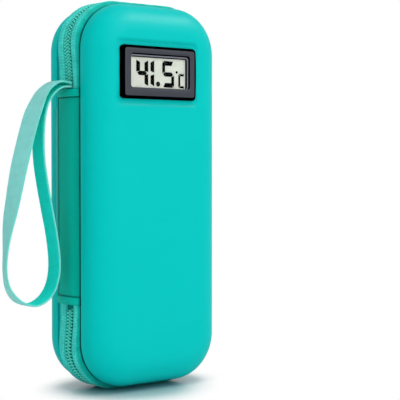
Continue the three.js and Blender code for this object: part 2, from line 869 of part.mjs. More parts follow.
function addPockets() {
  addPiece(halves, 'pocket_panel', pocketPanel(pocketWall, pocketMouth, 1), materials.lining);
  const [lowerShare, upperShare] = penBandShares;
  addPiece(halves, 'pen_band_lower', penBand(lowerShare * pocketMouth), materials.elastic);
  addPiece(halves, 'pen_band_upper', penBand(upperShare * pocketMouth), materials.elastic);
  addPiece(halves, 'net_pocket', pocketPanel(netWall, pocketMouth, -1), materials.net);
  addPiece(halves, 'net_hem', buildNetHem(), materials.elastic);
}

function addSpine() {
  addPiece(spine, 'spine_panel', buildSpinePanel(), materials.spine);
  addPiece(spine, 'spine_lining', buildSpineLining(), materials.lining);
  addPiece(spine, 'spine_hem_upper', buildSpineHem(spineTop - hemHeight), materials.hem);
  addPiece(spine, 'spine_hem_lower', buildSpineHem(spineBottom), materials.hem);
  addPiece(spine, 'wrist_strap', buildStrap(), materials.webbing);
}

function addThermometer() {
  addPiece(thermometer, 'display_bezel', buildBezel(), materials.bezel);
  addPiece(thermometer, 'display_window', buildLens(), materials.lens);
  addPiece(thermometer, 'display_panel', buildPanel(), materials.display);
  addPiece(thermometer, 'display_board', buildBoard(), materials.board);
  addPiece(thermometer, 'display_housing', buildHousing(), materials.housing);
  addPiece(thermometer, 'battery_door', buildDoor(), materials.housing);
  addPiece(thermometer, 'battery_left', buildCell(-1), materials.steel);
  addPiece(thermometer, 'battery_right', buildCell(1), materials.steel);
  addPiece(thermometer, 'clip_left', buildClip(-1), materials.housing);
  addPiece(thermometer, 'clip_right', buildClip(1), materials.housing);
  addPiece(thermometer, 'sensor_tip', buildProbe(), materials.steel);
  thermometer.position.set(displayX, -shellDepth, displayZ);
}

// The sliders stand nose to nose in the middle of the right side. The lower pull hangs down, and the
// upper one is turned up and leans on the zip.
function addSliders() {
  const offset = sliderLength / 2 + clearance / 2;
  const places = [
    { name: 'upper', z: caseHeight / 2 + offset, turn: Math.PI - THREE.MathUtils.degToRad(pullLeanDegrees) },
    { name: 'lower', z: caseHeight / 2 - offset, turn: 0 },
  ];
  for (const { name, z, turn } of places) {
    const slider = addPiece(sliders, `${name}_slider`, buildSlider(), materials.steel);
    slider.position.set(halfWidth, 0, z);
    const pull = addPiece(sliders, `${name}_pull`, buildPull(), materials.webbing);
    pull.position.set(halfWidth + holeMiddle, 0, z);
    pull.rotation.y = turn;
  }
}

addHalf('back', 1);
addHalf('front', -1);
addPockets();
addSpine();
addThermometer();
addSliders();
coolingCase.add(halves, spine, thermometer, sliders);
coolingCase.position.set(0, -footMiddle, zipSwell);

export default coolingCase;
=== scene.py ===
import math

import bmesh
import bpy
import numpy as np
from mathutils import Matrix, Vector


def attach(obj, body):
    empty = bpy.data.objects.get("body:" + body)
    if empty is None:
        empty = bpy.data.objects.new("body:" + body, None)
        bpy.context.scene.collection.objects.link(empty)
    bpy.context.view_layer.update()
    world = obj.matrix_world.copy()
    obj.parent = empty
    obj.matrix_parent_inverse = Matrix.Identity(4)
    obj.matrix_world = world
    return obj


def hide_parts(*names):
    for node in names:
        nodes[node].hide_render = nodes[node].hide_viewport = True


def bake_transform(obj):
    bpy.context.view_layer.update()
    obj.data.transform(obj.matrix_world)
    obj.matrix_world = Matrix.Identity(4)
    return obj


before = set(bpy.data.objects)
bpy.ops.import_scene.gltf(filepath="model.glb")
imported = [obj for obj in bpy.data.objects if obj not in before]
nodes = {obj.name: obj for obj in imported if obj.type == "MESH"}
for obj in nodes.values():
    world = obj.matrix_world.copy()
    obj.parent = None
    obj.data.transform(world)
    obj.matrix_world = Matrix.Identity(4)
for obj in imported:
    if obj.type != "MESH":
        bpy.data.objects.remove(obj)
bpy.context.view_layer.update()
print("frame loaded:", len(nodes), "nodes")

# Sizes of the case in millimetres. The halves meet at midPlane, the shells' foot is lift above the
# floor, and insets are measured inwards from the shells' outline.
case = {
    "width": 84.0,
    "height": 203.0,
    "cornerRadius": 25.0,
    "midPlane": -6.4,
    "lift": 2.4,
    "shellDepth": 26.0,
    "bandHalf": 11.0,
    "wallStraight": 3.0,
    "filletInset": 16.0,
    "shellWall": 2.8,
    "liningRim": 13.8,
    "spineLow": 44.25,
    "spineHigh": 157.75,
    "displayX": -2.5,
    "displayZ": 166.5,
    "displayHalfWide": 24.0,
    "displayHalfTall": 14.3,
    "roundSteps": 420,
}

sideBodies = {1: "back_half", -1: "front_half"}
sideNames = {1: "back", -1: "front"}
halfWide = case["width"] / 2
midHeight = case["height"] / 2
cornerX = halfWide - case["cornerRadius"]
cornerZ = midHeight - case["cornerRadius"]
quarterRun = case["cornerRadius"] * math.pi / 2
perimeter = 4 * (quarterRun + cornerX + cornerZ)


# Camera

view = {
    "place": (-0.40022, -0.55882, 0.12136),
    "direction": (0.62932616, 0.77656549, -0.02991031),
    "lens": 111.60,
    "sensor": 36.0,
}


def addToScene(name, data):
    thing = bpy.data.objects.new(name, data)
    bpy.context.scene.collection.objects.link(thing)
    return thing


def aimAlong(thing, direction):
    thing.rotation_euler = Vector(direction).to_track_quat("-Z", "Y").to_euler()


def makeCamera():
    data = bpy.data.cameras.new("photoCamera")
    data.lens = view["lens"]
    data.sensor_width = view["sensor"]
    data.clip_start = 0.01
    camera = addToScene("photoCamera", data)
    camera.location = view["place"]
    aimAlong(camera, view["direction"])
    bpy.context.scene.camera = camera


# Shader building

nodeSettings = ("operation", "blend_type", "data_type", "feature", "uv_map", "interpolation_type")


def paint(red, green, blue):
    # A screen colour out of 255, as the linear colour that a shader takes
    screen = np.array([red, green, blue]) / 255
    linear = np.where(screen <= 0.04045, screen / 12.92, ((screen + 0.055) / 1.055) ** 2.4)
    return (*[float(value) for value in linear], 1.0)


def setInputs(node, **values):
    # Links a value that is a socket and sets any other. A key is the input's name with underscores for
    # its spaces, or the letter i and the input's number.
    for key, value in values.items():
        socket = node.inputs[int(key[1:]) if key[1:].isdigit() else key.replace("_", " ")]
        if isinstance(value, bpy.types.NodeSocket):
            node.id_data.links.new(value, socket)
        else:
            socket.default_value = value


def put(tree, kind, **values):
    node = tree.nodes.new(kind)
    for key in nodeSettings:
        if key in values:
            setattr(node, key, values.pop(key))
    setInputs(node, **values)
    return node


def calc(tree, operation, first, second=0.5, clamp=False):
    node = put(tree, "ShaderNodeMath", operation=operation, i0=first, i1=second)
    node.use_clamp = clamp
    return node.outputs[0]


def scaled(tree, value, factor, base=0.0):
    # Base plus value times factor
    product = calc(tree, "MULTIPLY", value, factor)
    return calc(tree, "ADD", product, base) if base else product


def blendColors(tree, factor, first, second, mode="MIX"):
    node = put(tree, "ShaderNodeMix", data_type="RGBA", blend_type=mode, i0=factor, i6=first, i7=second)
    return node.outputs[2]


def noise(tree, point, scale, detail=2.0, **rest):
    return put(tree, "ShaderNodeTexNoise", Vector=point, Scale=scale, Detail=detail, **rest).outputs[0]


def cellEdges(tree, point, scale):
    node = put(tree, "ShaderNodeTexVoronoi", Vector=point, Scale=scale, feature="DISTANCE_TO_EDGE")
    return node.outputs[0]


def softStep(tree, value, low, high, top=1.0):
    # Rises smoothly from nothing at low to top at high
    node = put(tree, "ShaderNodeMapRange", Value=value, i1=low, i2=high, i4=top,
               interpolation_type="SMOOTHSTEP")
    return node.outputs[0]


def seenRays(tree):
    # One for the rays that show a thing to the eye: directly, in gloss or through clear plastic
    rays = put(tree, "ShaderNodeLightPath").outputs
    bounced = calc(tree, "MAXIMUM", rays["Is Glossy Ray"], rays["Is Transmission Ray"])
    return calc(tree, "MAXIMUM", rays["Is Camera Ray"], bounced)


def newGroup(name, inputs, outputs):
    # An empty shader group. An input without a start value is a vector, and one with four is a colour.
    group = bpy.data.node_groups.new(name, "ShaderNodeTree")
    kinds = {type(None): "Vector", float: "Float", tuple: "Color"}
    for label, start in inputs.items():
        kind = "NodeSocket" + kinds[type(start)]
        socket = group.interface.new_socket(label, in_out="INPUT", socket_type=kind)
        if start is not None:
            socket.default_value = start
    for label, kind in outputs.items():
        group.interface.new_socket(label, in_out="OUTPUT", socket_type="NodeSocket" + kind)
    return group, group.nodes.new("NodeGroupInput").outputs, group.nodes.new("NodeGroupOutput")


def makeWeaveGroup():
    # Threads over and under: the product of two sines along and across gives the little cushions, and
    # its sign says which set of threads is on top. Tone is a slow cloud over the colour.
    tree, given, result = newGroup(
        "threadWeave", {"Vector": None, "Along": 1.0, "Across": 1.0, "Slant": 0.0, "Unevenness": 0.3},
        {"Height": "Float", "Over": "Float", "Tone": "Float"})
    parts = put(tree, "ShaderNodeSeparateXYZ", Vector=given["Vector"]).outputs
    along = calc(tree, "DIVIDE", parts[0], given["Along"])
    across = calc(tree, "DIVIDE", parts[1], given["Across"])
    along = calc(tree, "ADD", along, scaled(tree, across, given["Slant"]))
    waves = [calc(tree, "SINE", scaled(tree, way, math.pi)) for way in (along, across)]
    product = calc(tree, "MULTIPLY", *waves)
    cloud = calc(tree, "SUBTRACT", noise(tree, given["Vector"], 0.22, 3.0, Roughness=0.6), 0.5)
    setInputs(result, Height=calc(tree, "POWER", calc(tree, "ABSOLUTE", product), 0.6),
              Over=calc(tree, "GREATER_THAN", product, 0.0),
              Tone=scaled(tree, cloud, given["Unevenness"], 1.0))
    return tree


def makeGrainGroup():
    # Fine moulded or pressed grain: cell edges for leather, noise for plastic, mixed by Cells
    tree, given, result = newGroup("surfaceGrain", {"Vector": None, "Size": 900.0, "Cells": 0.0},
                                   {"Height": "Float", "Cloud": "Float"})
    fine = noise(tree, given["Vector"], given["Size"], 3.0)
    edge = calc(tree, "MULTIPLY", cellEdges(tree, given["Vector"], given["Size"]), 3.0, clamp=True)
    mixed = put(tree, "ShaderNodeMix", data_type="FLOAT", i0=given["Cells"], i2=fine, i3=edge)
    setInputs(result, Height=mixed.outputs[0], Cloud=noise(tree, given["Vector"], 28.0))
    return tree


def makeHandlingGroup():
    # Signs of use: faint smears that change the gloss, and fine dust that pales the colour a little
    tree, given, result = newGroup(
        "handlingMarks",
        {"Vector": None, "Color": (0.5, 0.5, 0.5, 1), "Rough": 0.5, "Smear": 0.1, "Dust": 0.03},
        {"Color": "Color", "Rough": "Float"})
    smear = calc(tree, "SUBTRACT", noise(tree, given["Vector"], 45.0, 4.0, Distortion=0.8), 0.5)
    change = scaled(tree, smear, given["Smear"])
    dust = scaled(tree, calc(tree, "POWER", noise(tree, given["Vector"], 700.0), 3.0), given["Dust"])
    setInputs(result, Rough=calc(tree, "ADD", given["Rough"], change, clamp=True),
              Color=blendColors(tree, dust, given["Color"], (0.8, 0.82, 0.82, 1)))
    return tree


groups = {"weave": makeWeaveGroup(), "grain": makeGrainGroup(), "marks": makeHandlingGroup()}


def useGroup(tree, key, **values):
    node = tree.nodes.new("ShaderNodeGroup")
    node.node_tree = groups[key]
    setInputs(node, **values)
    return node.outputs


def newMaterial(name, color, rough, **fixed):
    material = bpy.data.materials.new(name)
    material.use_nodes = True
    shader = material.node_tree.nodes["Principled BSDF"]
    setInputs(shader, Base_Color=color, Roughness=rough, **fixed)
    return material, material.node_tree, shader


def addBump(shader, height, strength, depth):
    bump = put(shader.id_data, "ShaderNodeBump", Strength=strength, Distance=depth, Height=height)
    setInputs(shader, Normal=bump.outputs[0])


def objectPoint(tree):
    return put(tree, "ShaderNodeTexCoord").outputs["Object"]


def clothPoint(tree):
    return put(tree, "ShaderNodeUVMap", uv_map="UVMap").outputs[0]


def tintBands(tree, color, bands):
    # Lays bands of painted shade over a colour by the cloth coordinates in millimetres. A band is its axis,
    # where it starts, where it is full, how strong it is then, and its tint.
    place = put(tree, "ShaderNodeSeparateXYZ", Vector=clothPoint(tree)).outputs if bands else ()
    for axis, low, high, strength, tint in bands:
        color = blendColors(tree, softStep(tree, place[axis], low, high, strength), color, tints[tint])
    return color


def grainyMaterial(name, color, rough, size, strength, depth=0.0001, cells=0.0, shade=0.06, dust=0.02,
                   smear=0.1, gloss=0.5, bands=(), **fixed):
    # Plastic, rubber, leather or paint: grain for the bump, a soft cloud of tone and signs of use
    material, tree, shader = newMaterial(name, color, rough, Specular_IOR_Level=gloss, **fixed)
    point = objectPoint(tree)
    grain = useGroup(tree, "grain", Vector=point, Size=size, Cells=cells)
    dark = tuple(channel * (1 - shade) for channel in color[:3]) + (1.0,)
    toned = blendColors(tree, grain["Cloud"], color, dark)
    marks = useGroup(tree, "marks", Vector=point, Color=toned, Rough=rough, Smear=smear, Dust=dust)
    setInputs(shader, Base_Color=tintBands(tree, marks["Color"], bands), Roughness=marks["Rough"])
    addBump(shader, grain["Height"], strength, depth)
    return material


def wovenMaterial(name, pale, deep, rough, threads, strength, depth, unevenness=0.3, gloss=0.15, bands=(),
                  **fixed):
    # Cloth: threads of the pale colour over threads of the deeper one. Threads are their width along
    # and across, and their slant.
    material, tree, shader = newMaterial(name, pale, rough, Specular_IOR_Level=gloss, **fixed)
    along, across, slant = threads
    weave = useGroup(tree, "weave", Vector=clothPoint(tree), Along=along, Across=across, Slant=slant,
                     Unevenness=unevenness)
    raised = calc(tree, "MULTIPLY", weave["Height"], scaled(tree, weave["Over"], 0.35, 0.65))
    mixed = tintBands(tree, blendColors(tree, raised, deep, pale), bands)
    setInputs(shader, Base_Color=blendColors(tree, 1.0, mixed, weave["Tone"], "MULTIPLY"))
    addBump(shader, weave["Height"], strength, depth)
    return material


def foilMaterial():
    # Foil film: crossing creases in the bump, bright metal with a duller haze
    material, tree, shader = newMaterial("foilFilm", (0.80, 0.82, 0.84, 1), 0.28, Metallic=1.0)
    point = objectPoint(tree)
    folds = noise(tree, point, 90.0, 4.0, Distortion=1.2)
    height = calc(tree, "ADD", scaled(tree, cellEdges(tree, point, 160.0), 1.4), folds)
    addBump(shader, height, 0.7, 0.0006)
    setInputs(shader, Roughness=scaled(tree, folds, 0.25, 0.16))
    return material


def patternMaterial(name, color, rough, pattern, colors=None, sheen=None, bump=None, **fixed):
    # A look from one pattern, which blends two colours, changes the roughness and raises a bump
    material, tree, shader = newMaterial(name, color, rough, **fixed)
    value = pattern(tree, objectPoint(tree))
    if colors:
        setInputs(shader, Base_Color=blendColors(tree, value, *colors))
    if sheen:
        setInputs(shader, Roughness=scaled(tree, value, *sheen))
    if bump:
        addBump(shader, value, *bump)
    return material


def foamPits(tree, point):
    return put(tree, "ShaderNodeTexVoronoi", Vector=point, Scale=1500.0).outputs[0]


def fineMottle(tree, point):
    return noise(tree, point, 1800.0)


def faintScuffs(tree, point):
    return calc(tree, "POWER", noise(tree, point, 600.0, 3.0), 3.0)


def brushedLines(tree, point):
    drawn = put(tree, "ShaderNodeMapping", Vector=point, Scale=(300.0, 300.0, 5000.0))
    return noise(tree, drawn.outputs[0], 1.0)


def netMaterial():
    # Fine net: holes where two slanted sets of threads both leave room
    material, tree, shader = newMaterial("netMesh", (0.020, 0.023, 0.026, 1), 0.85)
    parts = put(tree, "ShaderNodeSeparateXYZ", Vector=clothPoint(tree)).outputs
    waves = []
    for way in ("ADD", "SUBTRACT"):
        slanted = scaled(tree, calc(tree, way, parts[0], parts[1]), math.pi / 1.5)
        waves.append(calc(tree, "ABSOLUTE", calc(tree, "SINE", slanted)))
    room = calc(tree, "MINIMUM", *waves)
    setInputs(shader, Alpha=calc(tree, "LESS_THAN", room, 0.52))
    addBump(shader, calc(tree, "SUBTRACT", 1.0, room), 0.6, 0.0003)
    return material


def gelMaterial():
    # Satin film over gel: soft dimples, slow changes of depth in the blue
    material, tree, shader = newMaterial("gelFilm", paint(0, 92, 205), 0.3)
    point = objectPoint(tree)
    slow = noise(tree, point, 32.0)
    setInputs(shader, Base_Color=blendColors(tree, slow, paint(0, 76, 186), paint(8, 112, 222)),
              Roughness=scaled(tree, slow, 0.2, 0.22))
    addBump(shader, calc(tree, "ADD", noise(tree, point, 240.0, 3.0), scaled(tree, slow, 3.0)), 0.25, 0.0006)
    return material


def boardMaterial():
    # Solder mask with copper tracks under it
    material, tree, shader = newMaterial("circuitGreen", paint(22, 96, 52), 0.4)
    tracks = put(tree, "ShaderNodeTexBrick", Vector=objectPoint(tree), Scale=260.0, Color1=paint(22, 96, 52),
                 Color2=paint(26, 108, 60), Mortar=paint(60, 140, 80))
    setInputs(shader, Base_Color=tracks.outputs[0])
    addBump(shader, tracks.outputs[1], 0.2, 0.0001)
    return material


# Painted shade and shadow colours, and webbingDeep, the webbing's own deeper thread colour
tints = {
    "seam": paint(0, 74, 66),
    "tapeOuterShade": paint(10, 188, 174),
    "tapeGapShadow": paint(0, 92, 82),
    "tapeGrooveShade": paint(0, 138, 126),
    "webbingDeep": paint(140, 252, 240),
}

# Painted shade on the tape: dark in the groove under the coil, pale beside it, then a deeper teal shade,
# and a dark painted shadow where it goes down to the shell's rim. Painted shade on the leather: it darkens
# broadly and then sharply towards its front edge by the shell, and under each hem.
tapeShadeBands = ((1, 3.6, 2.8, 1.0, "tapeGrooveShade"), (1, 7.2, 9.0, 1.0, "tapeOuterShade"),
             (1, 9.5, 10.3, 1.0, "tapeGapShadow"))
leatherShadeBands = ((0, 6.5, 0.0, 0.28, "seam"), (0, 1.5, 0.5, 1.0, "seam"), (1, 5.2, 4.4, 0.6, "seam"),
                (1, 108.2, 109.1, 0.75, "seam"))
throughCloth = {"Subsurface_Scale": 0.002, "Subsurface_Radius": (0.3, 1.0, 0.9)}
leatherGrain = {"depth": 0.00015, "cells": 0.8, "dust": 0.006}

makeCamera()
materials = {
    # Each grainy look gives its name, colour, roughness, size of grain and strength of bump
    "shell": grainyMaterial("shellPlastic", paint(0, 196, 191), 0.42, 1600.0, 0.10, 0.00008, shade=0.03,
                            dust=0.002, smear=0.06, gloss=0.035),
    # Painted shadow of the gap between the front shell's lip and the zip tape
    "seam": grainyMaterial("seamShade", tints["seam"], 0.7, 1600.0, 0.1, 0.00008, dust=0.0, gloss=0.1),
    "tape": wovenMaterial("zipTapeCloth", paint(106, 250, 240), paint(24, 206, 194), 0.85, (0.8, 1.15, 0.8),
                          0.8, 0.0003, 0.8, 0.06, tapeShadeBands),
    "coil": grainyMaterial("coilNylon", paint(84, 242, 224), 0.4, 900.0, 0.1, gloss=0.35),
    # Painted shade: the leather darkens towards its front edge and under the hems
    "leather": grainyMaterial("spineLeather", paint(0, 194, 175), 0.5, 1300.0, 0.22, shade=0.12, gloss=0.03,
                              bands=leatherShadeBands, **leatherGrain),
    "hem": grainyMaterial("hemLeather", paint(0, 194, 176), 0.5, 1300.0, 0.22, shade=0.1, gloss=0.04,
                          **leatherGrain),
    # Partly painted highlight: a real cord, coloured paler than the leather for the light its edge catches
    "pipingHighlight": grainyMaterial("pipingClothHighlight", paint(70, 196, 188), 0.7, 1300.0, 0.2, 0.00015, 0.2, gloss=0.2),
    "webbing": wovenMaterial("strapWebbing", paint(172, 255, 245), tints["webbingDeep"], 0.8,
                             (0.6, 0.5, 0.0), 0.9, 0.0004, 0.25, 0.05, Sheen_Weight=0.04,
                             Subsurface_Weight=0.5, **throughCloth),
    # Painted shade: the inner face is a deeper, more saturated copy of the webbing for its shade and the light
    # through the cloth
    "webbingInsideShaded": wovenMaterial("strapInnerFaceShaded", paint(40, 255, 238), paint(6, 244, 222), 0.8,
                                   (0.7, 0.5, 0.0), 0.9, 0.0004, 0.25, 0.04, Subsurface_Weight=0.7,
                                   **throughCloth),
    "edge": wovenMaterial("strapEdge", paint(112, 234, 220), tints["webbingDeep"], 0.8, (0.8, 0.6, 0.0), 0.8,
                          0.0004, 0.2, 0.05),
    "bezel": grainyMaterial("bezelPlastic", paint(36, 41, 53), 0.42, 2200.0, 0.12, 0.00008, shade=0.12,
                            gloss=0.3),
    # Painted shade: the bezel's side walls are near black with their gloss taken away, standing in for the
    # shade on them
    "bezelSideShade": grainyMaterial("bezelSideWallShade", paint(1, 1, 2), 0.35, 2200.0, 0.05, 0.00005, dust=0.0,
                                gloss=0.02, IOR=1.05),
    # Painted highlight: the light grey ledge in the bezel's step stands in for the light caught on its edge
    "bezelEdgeHighlight": grainyMaterial("bezelStepHighlight", paint(104, 106, 122), 0.4, 2200.0, 0.1, 0.00008),
    "screen": patternMaterial("screenGlass", paint(205, 209, 198), 0.35, fineMottle,
                              (paint(178, 182, 172), paint(192, 196, 187)), bump=(0.1, 0.0001)),
    "ink": grainyMaterial("segmentInk", paint(2, 3, 5), 0.5, 3000.0, 0.02, 0.00002, dust=0.0, gloss=0.02),
    "window": patternMaterial("windowClear", (0.97, 0.98, 0.97, 1), 0.05, faintScuffs, sheen=(0.25,),
                              Transmission_Weight=1.0, IOR=1.08),
    "board": boardMaterial(),
    "housing": grainyMaterial("housingPlastic", paint(30, 30, 36), 0.5, 1500.0, 0.3),
    "cell": patternMaterial("cellSteel", (0.62, 0.63, 0.64, 1), 0.3, brushedLines, sheen=(0.25, 0.2),
                            bump=(0.15, 0.0001), Metallic=1.0),
    "slider": grainyMaterial("sliderPaint", paint(36, 178, 166), 0.35, 1200.0, 0.15, Coat_Weight=0.4,
                             Coat_Roughness=0.2),
    "pull": grainyMaterial("pullRubber", paint(40, 184, 172), 0.55, 1400.0, 0.3, cells=0.3),
    "foam": patternMaterial("foamCells", (0.80, 0.80, 0.77, 1), 0.9, foamPits,
                            ((0.62, 0.62, 0.6, 1), (0.85, 0.85, 0.82, 1)), bump=(0.6, 0.0003)),
    "foil": foilMaterial(),
    "binding": wovenMaterial("bindingCloth", paint(34, 146, 137), paint(12, 96, 90), 0.85, (0.7, 0.7, 1.0),
                             0.8, 0.0003, Sheen_Weight=0.2),
    "lining": wovenMaterial("liningCloth", paint(50, 55, 60), paint(24, 27, 31), 0.9, (0.7, 0.7, 0.0), 0.7,
                            0.0003, Sheen_Weight=0.2),
    "elastic": wovenMaterial("elasticRib", paint(42, 45, 50), paint(14, 15, 18), 0.8, (3.0, 0.9, 0.0), 0.9,
                             0.0005, gloss=0.2, Sheen_Weight=0.2),
    "net": netMaterial(),
    "gel": gelMaterial(),
    "thread": grainyMaterial("sewingThread", paint(120, 214, 204), 0.7, 4000.0, 0.4, gloss=0.2),
    "darkThread": grainyMaterial("liningThread", paint(20, 120, 112), 0.7, 4000.0, 0.4, gloss=0.2),
}
print("materials made:", len(materials))


# Points and curves

def turns(count):
    return np.linspace(0, 2 * math.pi, count + 1)[:-1]


def grid(x, y, z):
    # Points from three coordinates, each spread over the others where it has fewer values
    return np.stack(np.broadcast_arrays(x, y, z), -1)


def smoothShare(value, low, high):
    share = np.clip((value - low) / (high - low), 0, 1)
    return share * share * (3 - 2 * share)


def unit(vectors):
    return vectors / np.linalg.norm(vectors, axis=1)[:, None]


def runAlong(path):
    # Length of a path up to each of its points
    return np.append(0, np.cumsum(np.linalg.norm(np.diff(path, axis=0), axis=1)))


def smoothPath(knots, count):
    # Catmull-Rom curve: in each span, a cubic whose slopes at the knots run between their neighbours,
    # resampled to even steps of length
    knots = np.asarray(knots, float)
    padded = np.vstack([2 * knots[0] - knots[1], knots, 2 * knots[-1] - knots[-2]])
    where = np.linspace(0, len(knots) - 1, 40 * len(knots))
    span = np.minimum(where.astype(int), len(knots) - 2)
    t = (where - span)[:, None]
    p0, p1, p2, p3 = (padded[span + k] for k in range(4))
    bend = (2 * p0 - 5 * p1 + 4 * p2 - p3) * t ** 2 + (3 * p1 - p0 - 3 * p2 + p3) * t ** 3
    fine = 0.5 * (2 * p1 + (p2 - p0) * t + bend)
    run = runAlong(fine)
    even = np.linspace(0, run[-1], count)
    return np.stack([np.interp(even, run, fine[:, axis]) for axis in range(fine.shape[1])], 1), even


def sweep(path, first, second, firstReach, secondReach):
    # Rings along a path: each point is the path's plus its reaches along the two directions there
    return path[:, None] + firstReach[..., None] * first[:, None] + secondReach[..., None] * second[:, None]


def tubeRows(path, guide, radius, sides):
    # A round tube: at each point of the path, a ring in the plane of guide x tangent and its partner
    tangent = unit(np.gradient(path, axis=0))
    first = unit(np.cross(tangent, guide))
    radius = np.broadcast_to(radius, len(path))[:, None]
    angle = turns(sides)
    return sweep(path, first, np.cross(tangent, first), radius * np.cos(angle), radius * np.sin(angle))


def squareRound(count, wide, tall, widePower, tallPower):
    # A flat section: the cosine and the sine of the turn, raised to powers below one, fill its corners
    cos, sin = np.cos(turns(count)), np.sin(turns(count))
    return wide * np.sign(cos) * np.abs(cos) ** widePower, tall * np.sign(sin) * np.abs(sin) ** tallPower


def doubled(front, back):
    # Two faces of a sheet as rows that run along one and back along the other
    return np.concatenate([front, back[:, ::-1]], 1)


def faceOutwards(mesh):
    # Turns a closed mesh over if its faces look inwards
    work = bmesh.new()
    work.from_mesh(mesh)
    volume = work.calc_volume(signed=True)
    work.free()
    if volume < 0:
        mesh.flip_normals()


def newMesh(name, points, faces, looks):
    # Points in millimetres are shifted from the meeting plane into the frame
    mesh = bpy.data.meshes.new(name)
    mesh.from_pydata(((points + [0, case["midPlane"], case["lift"]]) / 1000).tolist(), [], faces)
    layer = mesh.uv_layers.new(name="UVMap")
    for look in looks:
        mesh.materials.append(materials[look])
    return mesh, layer


def closeEnds(mesh):
    # Fills the open loops at the ends of a strip and turns its faces outwards
    work = bmesh.new()
    work.from_mesh(mesh)
    bmesh.ops.holes_fill(work, edges=[edge for edge in work.edges if edge.is_boundary], sides=0)
    bmesh.ops.recalc_face_normals(work, faces=work.faces)
    work.to_mesh(mesh)
    work.free()


def gridMesh(name, rows, *looks, shape="rod", uv=None, rowSlots=None, sharp=60):
    # Skins a grid of points, rows[across, along]. A rod is rings one after the other, closed to their
    # centres at both ends. A loop's last ring also joins its first. A strip is lines that are joined
    # round, with its ends filled.
    rows = np.asarray(rows, float)
    across, along = rows.shape[:2]
    index = np.arange(across * along).reshape(across, along)
    j = np.arange(across - 1 if shape == "rod" else across)
    i = np.arange(along - 1 if shape == "strip" else along)
    jj, ii = np.meshgrid(j, i, indexing="ij")
    nextJ, nextI = (jj + 1) % across, (ii + 1) % along
    quads = np.stack([index[jj, ii], index[jj, nextI], index[nextJ, nextI], index[nextJ, ii]], -1)
    if uv is None:
        step = np.linalg.norm(np.diff(rows, axis=1, append=rows[:, :1]), axis=2).mean(0)
        rise = np.linalg.norm(np.diff(rows, axis=0, append=rows[:1]), axis=2).mean(1)
        uAxis, vAxis = np.append(0, np.cumsum(step)), np.append(0, np.cumsum(rise))
    else:
        uAxis, vAxis = (np.append(axis, 2 * axis[-1] - axis[-2]) for axis in uv)
    quadUv = [np.stack([uAxis[ii + u], vAxis[jj + v]], -1) for u, v in ((0, 0), (1, 0), (1, 1), (0, 1))]
    points, faces = rows.reshape(-1, 3), quads.reshape(-1, 4).tolist()
    corners, faceRows = [np.stack(quadUv, -2).reshape(-1, 2)], [jj.reshape(-1)]
    for row, turn in ((0, -1), (across - 1, 1)) if shape == "rod" else ():
        edge = np.stack([index[row, i], index[row, (i + 1) % along]], 1)[:, ::turn]
        side = np.stack([uAxis[i], uAxis[i + 1]], 1)[:, ::turn]
        faces += np.column_stack([edge, np.full(along, len(points))]).tolist()
        points = np.vstack([points, rows[row].mean(0)])
        tipU = np.column_stack([side, np.full(along, uAxis[:along].mean())])
        tipV = vAxis[row] + np.array([0, 0, 1])
        corners.append(np.stack(np.broadcast_arrays(tipU, tipV), -1).reshape(-1, 2))
        faceRows.append(np.full(along, min(row, across - 2)))
    mesh, layer = newMesh(name, points, faces, looks)
    layer.data.foreach_set("uv", np.concatenate(corners).astype(np.float32).ravel())
    if rowSlots is not None:
        chosen = np.asarray(rowSlots)[np.concatenate(faceRows)]
        mesh.polygons.foreach_set("material_index", chosen.astype(np.int32))
    mesh.validate()
    mesh.update()
    if shape == "strip":
        closeEnds(mesh)
    else:
        faceOutwards(mesh)
    mesh.shade_smooth()
    mesh.set_sharp_from_angle(angle=math.radians(sharp))
    return addToScene(name, mesh)


def joinPieces(name, pieces):
    # One object from several, which keep their own materials
    with bpy.context.temp_override(active_object=pieces[0], object=pieces[0], selected_objects=pieces,
                                   selected_editable_objects=pieces):
        bpy.ops.object.join()
    pieces[0].name = name
    pieces[0].data.name = name
    return pieces[0]


def settle(piece, body, node=None):
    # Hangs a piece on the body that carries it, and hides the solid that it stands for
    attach(piece, body)
    if node:
        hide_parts(node)
    return piece


def settleHalf(side, name, rows, looks, slot, node, **options):
    # A piece of one half, from rows with their distance from the meeting plane, turned to that half
    rows = np.array(rows)
    rows[..., 1] *= side
    piece = gridMesh(sideNames[side] + name, rows, *looks, **options)
    return settle(piece, sideBodies[side], sideNames[side] + node)


# Studio

studio = {
    "floorColor": (1.0, 1.0, 1.0, 1),
    "contactShadowColor": (0.10, 0.32, 0.38, 1),
    "contactShadowReach": 0.05,
    "floorRadius": 3.0,
    "fadeShift": (0.013, 0.017, 0.0),
    "fadeFrom": 0.02,
    "fadeTo": 0.052,
    "contactFrom": 0.45,
    "contactTo": 0.75,
    "worldStrength": 0.46,
    "lamps": [
        # name, place, aim, width, height, power, and whether it lights or only shows in gloss
        ("keyPanel", (0.25, -1.33, 0.75), (0.0, 0.0, 0.12), 1.1, 0.9, 8.0, True),
        ("topPanel", (0.10, -0.45, 1.25), (0.0, -0.02, 0.18), 0.7, 0.5, 4.0, True),
        ("leftPanel", (-1.3, -0.35, 0.55), (0.0, 0.0, 0.1), 0.8, 0.9, 2.4, True),
        ("sheenPanel", (0.73, -0.62, 1.08), (0.0, -0.02, 0.2), 0.7, 0.3, 30.0, False),
    ],
}


